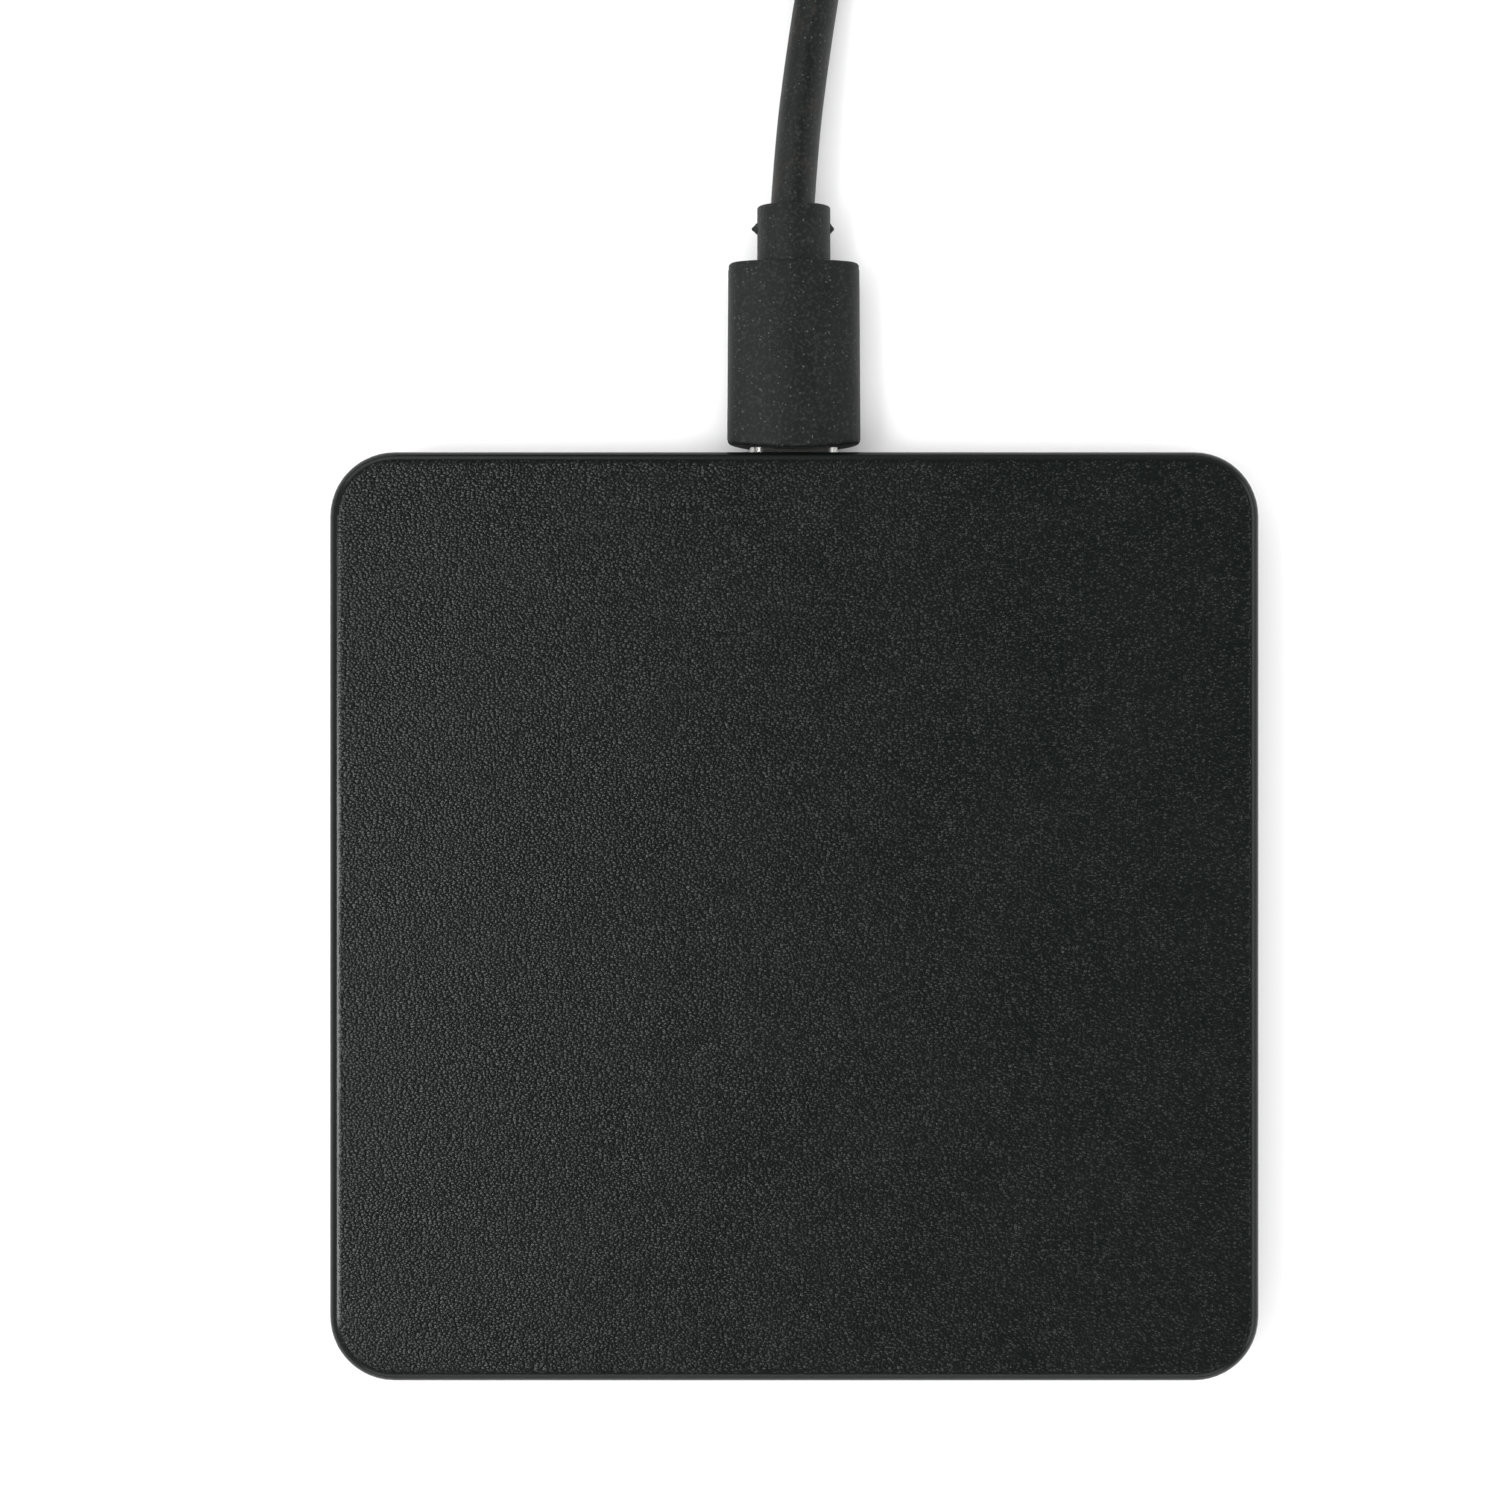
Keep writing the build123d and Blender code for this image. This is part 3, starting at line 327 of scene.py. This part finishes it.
def litz_copper():
    """Enamelled strands: fine slanted ridges, with painted shade as darker lines between them."""
    material, tree, shader = new_material("litz_copper")
    where = place(tree)
    waves = node(
        tree,
        "ShaderNodeTexWave",
        {"Vector": where, "Scale": 900.0, "Distortion": 2.0, "Detail": 1.0},
        bands_direction="DIAGONAL",
    ).outputs["Fac"]
    clouds = noise(tree, where, 2.5 * MM)
    tone = mix(tree, clouds, colour(0.62, 0.26, 0.11), colour(0.78, 0.38, 0.18))
    feed(
        tree,
        shader,
        # Painted shade: the grooves between the strands are coloured darker
        Base_Color=mix(tree, remap(tree, waves, 0.0, 0.4, 0.6, 0.0), tone, colour(0.20, 0.07, 0.03)),
        Metallic=0.9,
        Roughness=remap(tree, clouds, 0.3, 0.7, 0.30, 0.42),
        Normal=bump(tree, waves, 0.03 * MM),
    )
    return material


def board_laminate():
    """Green solder resist over copper traces, which show as slightly raised lighter lines."""
    material, tree, shader = new_material("circuit_board")
    cells = node(
        tree,
        "ShaderNodeTexVoronoi",
        {"Vector": place(tree, (1.0, 1.0, 50.0)), "Scale": 1 / (3.2 * MM), "Randomness": 0.6},
        distance="MANHATTAN",
        feature="F1",
    ).outputs["Distance"]
    traces = remap(tree, maths(tree, "PINGPONG", cells, 0.11), 0.045, 0.06)
    weave = noise(tree, place(tree, (3.0, 0.7, 1.0)), 0.3 * MM)
    green = mix(tree, weave, colour(0.004, 0.045, 0.016), colour(0.006, 0.062, 0.022))
    feed(
        tree,
        shader,
        Base_Color=mix(tree, traces, green, colour(0.018, 0.125, 0.045)),
        Roughness=remap(tree, weave, 0.3, 0.7, 0.28, 0.36),
        Normal=bump(tree, traces, 0.02 * MM),
        Coat_Weight=0.3,
        Coat_Roughness=0.2,
    )
    return material


def capacitor_ceramic():
    """Tan fired ceramic with a tinned cap on each end along Y."""
    material, tree, shader = new_material("ceramic")
    along = node(tree, "ShaderNodeSeparateXYZ", {0: place(tree, kind="Generated")}).outputs[1]
    from_middle = maths(tree, "ABSOLUTE", maths(tree, "SUBTRACT", along, 0.5))
    tinned = remap(tree, from_middle, 0.31, 0.33)
    grain = noise(tree, place(tree), 0.12 * MM, 3.0, 0.6)
    body = mix(tree, grain, colour(0.27, 0.17, 0.09), colour(0.40, 0.27, 0.15))
    feed(
        tree,
        shader,
        Base_Color=mix(tree, tinned, body, colour(0.66, 0.66, 0.64)),
        Metallic=tinned,
        Roughness=remap(tree, grain, 0.3, 0.7, 0.38, 0.52),
        Normal=bump(tree, grain, 0.006 * MM),
    )
    return material


def lens_resin(name, tone, glow):
    """Milky moulded resin."""
    material, tree, shader = new_material(name)
    clouds = noise(tree, place(tree), 0.6 * MM, 3.0, 0.6)
    feed(
        tree,
        shader,
        Base_Color=mix(tree, clouds, colour(*[0.85 * part for part in tone]), colour(*tone)),
        Roughness=remap(tree, clouds, 0.3, 0.7, 0.22, 0.34),
        Normal=bump(tree, clouds, 0.004 * MM),
        Subsurface_Weight=glow,
        Subsurface_Scale=0.5 * MM,
    )
    return material


def twist_tie_vinyl():
    """Satin black vinyl with a fine pressed grain."""
    material, tree, shader = new_material("tie_vinyl")
    grain = noise(tree, place(tree, (1.0, 1.0, 0.5)), 0.25 * MM, 3.0, 0.6)
    clouds = noise(tree, place(tree), 1.5 * MM)
    feed(
        tree,
        shader,
        Base_Color=mix(tree, clouds, colour(0.010, 0.010, 0.011), colour(0.019, 0.019, 0.020)),
        Roughness=remap(tree, grain, 0.3, 0.7, 0.36, 0.48),
        Normal=bump(tree, grain, 0.012 * MM),
    )
    return material


jacket_dark = colour(0.0022, 0.0032, 0.0028)
jacket_light = colour(0.0046, 0.0060, 0.0054)
adhesive_dark = colour(0.60, 0.58, 0.52)
adhesive_light = colour(0.74, 0.72, 0.66)
chip_dark = colour(0.011, 0.011, 0.012)
chip_light = colour(0.020, 0.020, 0.021)
sensor_dark = colour(0.016, 0.012, 0.010)
sensor_light = colour(0.035, 0.026, 0.020)
along_y = 1
along_z = 2

materials = {
    "cover_plastic": cover_plastic(),
    "base_plastic": base_plastic(),
    "foot_rubber": foot_rubber(),
    "screw_steel": plated_metal("screw_steel", (0.50, 0.50, 0.52), 0.30, along_z),
    "litz_copper": litz_copper(),
    "ferrite": moulded("ferrite", colour(0.030, 0.030, 0.034), colour(0.052, 0.052, 0.057), 0.42, 0.3 * MM),
    "adhesive": moulded("adhesive", adhesive_dark, adhesive_light, 0.80, 0.2 * MM, 0.03 * MM),
    "circuit_board": board_laminate(),
    "chip_resin": moulded("chip_resin", chip_dark, chip_light, 0.55, 0.1 * MM),
    "ceramic": capacitor_ceramic(),
    "sensor_resin": moulded("sensor_resin", sensor_dark, sensor_light, 0.22),
    "led_resin": lens_resin("led_resin", (0.86, 0.82, 0.62), 0.2),
    "light_pipe": lens_resin("light_pipe", (0.74, 0.77, 0.76), 0.3),
    "plated_steel": plated_metal("plated_steel", (0.54, 0.53, 0.51), 0.20, along_y),
    "contact_gold": plated_metal("contact_gold", (0.83, 0.60, 0.24), 0.22, along_y),
    "connector_black": moulded("connector_black", colour(0.012, 0.012, 0.013), chip_light, 0.38),
    "connector_white": moulded("connector_white", colour(0.74, 0.74, 0.72), colour(0.82, 0.82, 0.80), 0.36),
    "inner_mould": moulded("inner_mould", colour(0.52, 0.52, 0.50), colour(0.62, 0.62, 0.60), 0.5),
    "plug_tpe": elastomer("plug_tpe", jacket_dark, jacket_light, 0.60, 0.32),
    "cord_jacket": elastomer("cord_jacket", jacket_dark, jacket_light, 0.54, 0.30, 0.45),
    "tie_vinyl": twist_tie_vinyl(),
}

for subpart in frame["record"]["subparts"]:
    cad_object = frame["nodes"][subpart["node"]]
    cad_object.data.materials.clear()
    cad_object.data.materials.append(materials[subpart["material_slot"]])

# ---------------------------------------------------------------- supply cord

cord_diameter = 4.1 * MM
cord_radius = cord_diameter / 2
port_level = 4.1 * MM  # the plug's middle
moulding_low, moulding_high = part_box("plug_overmould")
neck_end = moulding_high.y

# Y counts from the neck's end, in millimetres, as the tubes' routes do
lead_route = [
    (-0.2, -1.0, 4.1),
    (0.25, 6.0, 3.95),
    (1.15, 13.5, 3.3),
    (2.45, 22.0, 2.5),
    (3.95, 30.3, 2.1),
    (5.2, 36.65, 2.05),
]
tail_route = [
    (2.25, 33.0, 6.45),
    (6.15, 34.95, 6.4),
    (9.95, 37.25, 5.95),
    (13.55, 39.8, 5.15),
    (16.95, 42.6, 4.25),
    (20.1, 45.65, 4.0),
]

coil_low, coil_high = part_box("cable_coil")
coil_centre = (coil_low + coil_high) / 2
coil_outer = (coil_high.x - coil_low.x) / 2 - cord_radius  # to the middle of the outermost turn
coil_layer_turns = 3
turn_points = 24
entry_angle = radians(-12.0)
exit_angle = radians(-65.0)
# Where the turns step sideways or up: the angle at which a step starts, and how wide it is
in_step = (radians(-102.0), radians(90.0))
out_step = (radians(-60.0), radians(85.0))
rise_step = (radians(-85.0), radians(90.0))
rise_bulge = (radians(-110.0), radians(155.0))
rise_bulge_reach = 3.5 * MM
tie_angle = radians(150.0)
tie_lift = 0.55 * MM
tie_lift_width = radians(70.0)


def progress(turned, turn, step):
    """0 before that turn's step, 1 after it, and smooth between them."""
    start, width = step
    share = (turned - (2 * pi * turn + start - entry_angle)) / width
    return (1 - cos(pi * min(max(share, 0.0), 1.0))) / 2


def hump(turned, turn, start, width):
    """A smooth rise and fall over width."""
    share = (turned - (2 * pi * turn + start - entry_angle)) / width
    return (1 - cos(2 * pi * min(max(share, 0.0), 1.0))) / 2


def coil_turns():
    """Turns of the wound length: inwards on the table, up at the inside, and outwards on top."""
    whole_turns = 2 * coil_layer_turns
    turned_in_all = 2 * pi * whole_turns + exit_angle - entry_angle
    count = round(turn_points * turned_in_all / (2 * pi))
    control_share = 1 / cos(pi / turn_points)  # a control point stands this far outside its curve
    points = []
    for index in range(count + 1):
        turned = turned_in_all * index / count
        inward = sum(progress(turned, turn, in_step) for turn in range(1, coil_layer_turns))
        outward = sum(
            progress(turned, turn, out_step) for turn in range(coil_layer_turns + 1, whole_turns)
        )
        radius = coil_outer + cord_diameter * (outward - inward)
        radius -= rise_bulge_reach * hump(turned, coil_layer_turns, *rise_bulge)
        lift = sum(
            hump(turned, turn, tie_angle - tie_lift_width / 2, tie_lift_width) for turn in range(whole_turns)
        )
        level = cord_radius + cord_diameter * progress(turned, coil_layer_turns, rise_step) + tie_lift * lift
        angle = entry_angle + turned
        reach = radius * control_share
        points.append((coil_centre.x + reach * cos(angle), coil_centre.y + reach * sin(angle), level))
    return points


def placed(route):
    return [(x * MM, neck_end + y * MM, z * MM) for x, y, z in route]


cord_curve = bpy.data.curves.new("supply_cord", "CURVE")
cord_curve.dimensions = "3D"
cord_curve.bevel_depth = cord_radius
cord_curve.bevel_resolution = 8
cord_curve.resolution_u = 8
cord_curve.use_fill_caps = True
cord_points = placed(lead_route) + coil_turns() + placed(tail_route)
spline = cord_curve.splines.new("NURBS")
spline.points.add(len(cord_points) - 1)
for point, position in zip(spline.points, cord_points):
    point.co = (*position, 1.0)
spline.order_u = 3
spline.use_endpoint_u = True
cord_curve.materials.append(materials["cord_jacket"])
cord = bpy.data.objects.new("supply_cord", cord_curve)
scene.collection.objects.link(cord)
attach(cord, "cable")
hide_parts("cable_lead", "cable_coil", "cable_tail")

# ---------------------------------------------------------------- mesh helpers


def mesh_piece(name, vertices, faces, material_slot):
    """Smooth-shaded piece on the cable, with sharp edges kept sharp."""
    mesh = bpy.data.meshes.new(name)
    mesh.from_pydata(vertices, [], faces)
    build = bmesh.new()
    build.from_mesh(mesh)
    bmesh.ops.recalc_face_normals(build, faces=build.faces)
    build.to_mesh(mesh)
    build.free()
    mesh.shade_smooth()
    mesh.set_sharp_from_angle(angle=radians(40))
    mesh.materials.append(materials[material_slot])
    piece = bpy.data.objects.new(name, mesh)
    scene.collection.objects.link(piece)
    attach(piece, "cable")
    return piece


def loft_faces(ring_count, ring_size, ends_closed=True, first=0, joined=False):
    """Faces between successive rings of vertices. joined also closes the last ring to the first."""
    faces = []
    for ring in range(ring_count if joined else ring_count - 1):
        here = first + ring * ring_size
        after = first + (ring + 1) % ring_count * ring_size
        for index in range(ring_size):
            beside = (index + 1) % ring_size
            faces.append((here + index, here + beside, after + beside, after + index))
    if ends_closed:
        faces.append(tuple(range(first, first + ring_size)))
        faces.append(tuple(range(first + (ring_count - 1) * ring_size, first + ring_count * ring_size)))
    return faces


# ---------------------------------------------------------------- supply plug's moulding

body_oval = (12.4 * MM, 6.4 * MM, 2.2 * MM)  # width, height, radius of the narrow ends
neck_oval = (6.85 * MM, 5.7 * MM, 2.5 * MM)
neck_length = 5.3 * MM
neck_back = moulding_high.y + 0.25 * MM
body_back = neck_back - neck_length
body_taper = 0.1 * MM  # narrower on each side at the neck
front_dome = 0.55 * MM  # the front face stands this far out in its middle
body_front = moulding_low.y + 0.15 * MM  # at the front face's sides
front_edge_radius = 0.35 * MM
front_rings = (1.6 * MM, 0.9 * MM)  # in from the outline, on the front face
back_edge_radius = 0.28 * MM
shoulder_width = 1.0 * MM
shoulder_dome = 0.02 * MM  # the shoulder's middle stands this far out
neck_edge_radius = 0.2 * MM
neck_root = 0.6 * MM  # how far the neck starts inside the body
neck_ring = 0.9 * MM  # in from the outline, on the neck's end face
arc_points = 24  # on each of the oval's four arcs

nub_place = 2.0 * MM  # of the nubs' middle from the neck's end
nub_stands = ((-1, 0.52 * MM), (1, 0.34 * MM))  # side, height out of the neck
nub_root = 0.25 * MM
# (share of the height, radius in mm) of each nub's rings
nub_rings = ((0.0, 0.52), (0.45, 0.44), (0.7, 0.24), (0.93, 0.12), (1.0, 0.05))
nub_length = 1.15  # along the neck, in radii of the ring
nub_height = 0.8  # upwards, in the same radii
nub_lean = 0.06 * MM  # of its tip towards the pad
nub_points = 16

seam_stand = 0.035 * MM
seam_section = ((-0.10, -0.09), (0.0, -0.045), (0.0, 0.045), (-0.10, 0.09))  # outward, up, in mm
seam_stations = 13
seam_front = 0.4 * MM  # of the parting line's start from the body's front
seam_short = 1.0 * MM  # by which it is shorter than the body


def oval_points(width, height, end_radius):
    """Outline of four tangent arcs, anticlockwise from the right-hand arc's lower end."""
    reach = width / 2
    rise = height / 2
    broad_radius = (reach**2 + rise**2 - 2 * reach * end_radius) / (2 * (rise - end_radius))
    side = reach - end_radius
    drop = broad_radius - rise
    tangent = atan2(drop, side)
    arcs = [
        (side, 0.0, end_radius, -tangent, 2 * tangent),
        (0.0, -drop, broad_radius, tangent, pi - 2 * tangent),
        (-side, 0.0, end_radius, pi - tangent, 2 * tangent),
        (0.0, drop, broad_radius, pi + tangent, pi - 2 * tangent),
    ]
    points = []
    for centre_x, centre_z, radius, start, sweep in arcs:
        for index in range(arc_points):
            angle = start + sweep * index / arc_points
            points.append((centre_x + radius * cos(angle), centre_z + radius * sin(angle)))
    return points


def oval_ring(oval, inset, y, dome=0.0):
    """Ring of vertices inset from the oval. dome pulls the middle of its width forward."""
    width, height, end_radius = oval
    ring = []
    for x, z in oval_points(width - 2 * inset, height - 2 * inset, end_radius - inset):
        forward = dome * (1 - (2 * x / width) ** 2)
        ring.append((x, y - forward, port_level + z))
    return ring


def rounded_edge(radius, steps=6):
    """(inset, distance from the end face) along a quarter round, from the face to the side."""
    turns = [pi / 2 * step / steps for step in range(steps + 1)]
    return [(radius * (1 - sin(turn)), radius * (1 - cos(turn))) for turn in turns]


def moulding_body():
    """Rings of the body, from the domed front face to the shoulder round the neck."""
    length = body_back - body_front
    rings = [oval_ring(body_oval, inset, body_front, front_dome) for inset in front_rings]
    for inset, depth in rounded_edge(front_edge_radius):
        rings.append(oval_ring(body_oval, inset, body_front + depth, front_dome))
    dome_end = 0.12
    for share in (0.06, dome_end, 0.25, 0.5, 0.75, 0.94):
        dome = front_dome * max(0.0, 1 - share / dome_end)
        rings.append(oval_ring(body_oval, body_taper * share, body_front + length * share, dome))
    for inset, depth in reversed(rounded_edge(back_edge_radius)):
        rings.append(oval_ring(body_oval, body_taper + inset, body_back - depth))
    rings.append(oval_ring(body_oval, body_taper + shoulder_width, body_back + shoulder_dome))
    return rings


def moulding_neck():
    """Rings of the neck, from inside the body to its end."""
    stations = [body_back + (neck_back - body_back) * share for share in (0.2, 0.6)]
    rings = [oval_ring(neck_oval, 0.0, y) for y in [body_back - neck_root] + stations]
    for inset, depth in reversed(rounded_edge(neck_edge_radius)):
        rings.append(oval_ring(neck_oval, inset, neck_back - depth))
    rings.append(oval_ring(neck_oval, neck_ring, neck_back))
    return rings


def moulding_nub(side, stand):
    """Rings of the pointed nub that the mould leaves on one side of the neck."""
    root = side * (neck_oval[0] / 2 - nub_root)
    rings = []
    for share, radius in nub_rings:
        ring = []
        for index in range(nub_points):
            angle = 2 * pi * index / nub_points
            y = neck_back - nub_place + nub_length * radius * MM * cos(angle) - nub_lean * share
            z = port_level + radius * MM * sin(angle) * nub_height
            ring.append((root + side * share * (stand + nub_root), y, z))
        rings.append(ring)
    return rings


def moulding_seam(side):
    """Sections of the mould's parting line along one side of the body."""
    length = body_back - body_front
    sections = []
    for index in range(seam_stations):
        y = body_front + seam_front + (length - seam_short) * index / (seam_stations - 1)
        outer = side * (body_oval[0] / 2 - body_taper * (y - body_front) / length)
        sections.append(
            [(outer + side * (out * MM + seam_stand), y, port_level + up * MM) for out, up in seam_section]
        )
    return sections


def plug_moulding():
    """Body, neck, nubs and parting lines of the plug's soft moulding."""
    shells = [moulding_body(), moulding_neck()]
    shells += [moulding_nub(side, stand) for side, stand in nub_stands]
    shells += [moulding_seam(side) for side in (-1, 1)]
    vertices = []
    faces = []
    for rings in shells:
        faces += loft_faces(len(rings), len(rings[0]), first=len(vertices))
        vertices += [vertex for ring in rings for vertex in ring]
    return mesh_piece("plug_moulding", vertices, faces, "plug_tpe")


moulding = plug_moulding()
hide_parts("plug_overmould")

# ---------------------------------------------------------------- twist tie

bundle_half_width = 1.5 * cord_diameter
ribbon_width = 4.0 * MM
ribbon_thickness = 0.2 * MM
rib_height = 0.2 * MM  # the wire inside shows as a rib
rib_half_width = 0.35 * MM
loop_half_width = bundle_half_width + 0.22 * MM
loop_bottom = 0.34 * MM
loop_top = 2 * cord_diameter + tie_lift + 0.2 * MM
loop_corner = cord_radius + 0.15 * MM
loop_steps = 8  # round each corner
tail_reach = 10.23 * MM  # inwards from the loop
tail_level = 5.6 * MM  # where the tail leaves the loop
tail_drop = 4.2 * MM
tail_sag = 0.5 * MM
tail_turns = 3.25
tail_steps = 72
ply_width = 1.1 * MM
ply_thickness = 0.35 * MM
ply_rib_height = 0.15 * MM
ply_offset = 0.24 * MM  # of each ply from the tail's middle
flare_start = 0.8  # share of the tail at which the two ends spread
flare = 3.0 * MM
ridge_steps = 8

tie_outward = Vector((cos(tie_angle), sin(tie_angle), 0))
tie_along = Vector((-sin(tie_angle), cos(tie_angle), 0))
tie_centre = Vector((coil_centre.x, coil_centre.y, 0)) + tie_outward * (coil_outer - cord_diameter)


def ribbon_section(width, thickness, rib):
    """(across, outward) points of the ribbon's section, with the wire's rib on its outer side."""
    half = width / 2
    rise = thickness / 2
    edge = 0.05 * MM
    turns = [pi * step / ridge_steps for step in range(ridge_steps + 1)]
    right = [(half, -rise + edge), (half, rise - edge), (half - edge, rise)]
    ridge = [(cos(turn) * rib_half_width, rise + rib * sin(turn)) for turn in turns]
    left = [(-half + edge, rise), (-half, rise - edge), (-half, -rise + edge)]
    below = [(-half + edge, -rise), (half - edge, -rise)]
    return right + ridge + left + below


def loop_path():
    """(outward, level, normal outward, normal up) round the bundle, with rounded corners."""
    stations = []
    middle = (loop_bottom + loop_top) / 2
    half_height = (loop_top - loop_bottom) / 2
    for corner, (side, up) in enumerate(((1, -1), (1, 1), (-1, 1), (-1, -1))):
        for step in range(loop_steps + 1):
            angle = -pi / 2 + corner * pi / 2 + pi / 2 * step / loop_steps
            outward = side * (loop_half_width - loop_corner) + loop_corner * cos(angle)
            level = middle + up * (half_height - loop_corner) + loop_corner * sin(angle)
            stations.append((outward, level, cos(angle), sin(angle)))
    return stations


def twist_tie():
    """Ribbon round the bundle, whose two ends are twisted together on the inner side."""
    vertices = []
    section = ribbon_section(ribbon_width, ribbon_thickness, rib_height)
    stations = loop_path()
    for outward, level, normal_out, normal_up in stations:
        normal = tie_outward * normal_out + Vector((0, 0, normal_up))
        origin = tie_centre + tie_outward * outward + Vector((0, 0, level))
        vertices += [origin + tie_along * across + normal * stand for across, stand in section]
    faces = loft_faces(len(stations), len(section), ends_closed=False, joined=True)

    inset = 0.3 * MM
    tail_start = tie_centre - tie_outward * (loop_half_width - inset) + Vector((0, 0, tail_level))
    line = Vector((0, 0, -tail_drop)) - tie_outward * tail_reach
    forward = line.normalized()
    first_side = tie_along
    second_side = forward.cross(first_side)
    ply_section = ribbon_section(ply_width, ply_thickness, ply_rib_height)
    for ply in range(2):
        first = len(vertices)
        for step in range(tail_steps + 1):
            share = step / tail_steps
            angle = 2 * pi * tail_turns * share + pi * ply
            facing = first_side * cos(angle) + second_side * sin(angle)
            across_way = forward.cross(facing)
            spread = ply_offset + flare * max(0.0, share - flare_start)
            sag = Vector((0, 0, -tail_sag * sin(pi * share)))
            origin = tail_start + line * share + facing * spread + sag
            vertices += [origin + across_way * across + facing * stand for across, stand in ply_section]
        faces += loft_faces(tail_steps + 1, len(ply_section), first=first)
    return mesh_piece("twist_tie", vertices, faces, "tie_vinyl")


tie = twist_tie()
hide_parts("cable_tie")

# ---------------------------------------------------------------- floor and light

floor_half = 3.0
floor_mesh = bpy.data.meshes.new("floor")
floor_corners = [(x * floor_half, y * floor_half, 0) for x, y in ((-1, -1), (1, -1), (1, 1), (-1, 1))]
floor_mesh.from_pydata(floor_corners, [], [(0, 1, 2, 3)])
floor = bpy.data.objects.new("floor", floor_mesh)
scene.collection.objects.link(floor)
floor_material, floor_tree, floor_shader = new_material("floor")
feed(
    floor_tree, floor_shader, Base_Color=colour(0.88, 0.88, 0.88), Roughness=0.9, Specular_IOR_Level=0.1
)
floor_mesh.materials.append(floor_material)


def softbox(name, azimuth, zenith, distance, width, height, radiance):
    """Panel that faces the pad. azimuth is from +X, zenith from straight up, both in degrees."""
    turn = radians(azimuth)
    tilt = radians(zenith)
    away = Vector((sin(tilt) * cos(turn), sin(tilt) * sin(turn), cos(tilt)))
    light = bpy.data.lights.new(name, "AREA")
    light.shape = "RECTANGLE"
    light.size = width
    light.size_y = height
    light.energy = radiance * pi * width * height
    panel = bpy.data.objects.new(name, light)
    panel.location = away * distance
    panel.rotation_euler = away.to_track_quat("Z", "Y").to_euler()
    panel.visible_camera = False
    scene.collection.objects.link(panel)
    return panel


softbox("key", 190, 36, 0.9, 0.32, 0.42, 9.3)
softbox("right_fill", 0, 66, 1.0, 1.3, 0.5, 1.15)
softbox("front_fill", 270, 68, 1.0, 1.2, 0.45, 0.85)
softbox("back_left_fill", 120, 64, 1.0, 0.9, 0.5, 0.9)
# Wide diffuser overhead, which lights the floor evenly and makes no highlight
overhead = softbox("overhead", 90, 0, 1.2, 2.4, 2.4, 1.8)
overhead.visible_glossy = False

# The sky is pale low down and dark straight up, where the charging face mirrors it
sky_pale_zenith = radians(64)
sky_dark_zenith = radians(14)
world = bpy.data.worlds.new("studio")
scene.world = world
world.use_nodes = True
sky = world.node_tree
direction = node(sky, "ShaderNodeTexCoord").outputs["Generated"]
upward = node(sky, "ShaderNodeSeparateXYZ", {0: direction}).outputs[2]
sky_strength = remap(sky, upward, cos(sky_pale_zenith), cos(sky_dark_zenith), 0.42, 0.045)
sky.links.new(sky_strength, sky.nodes["Background"].inputs[1])
sky.nodes["Background"].inputs[0].default_value = colour(1.0, 1.0, 1.0)
scene.view_settings.view_transform = "Standard"
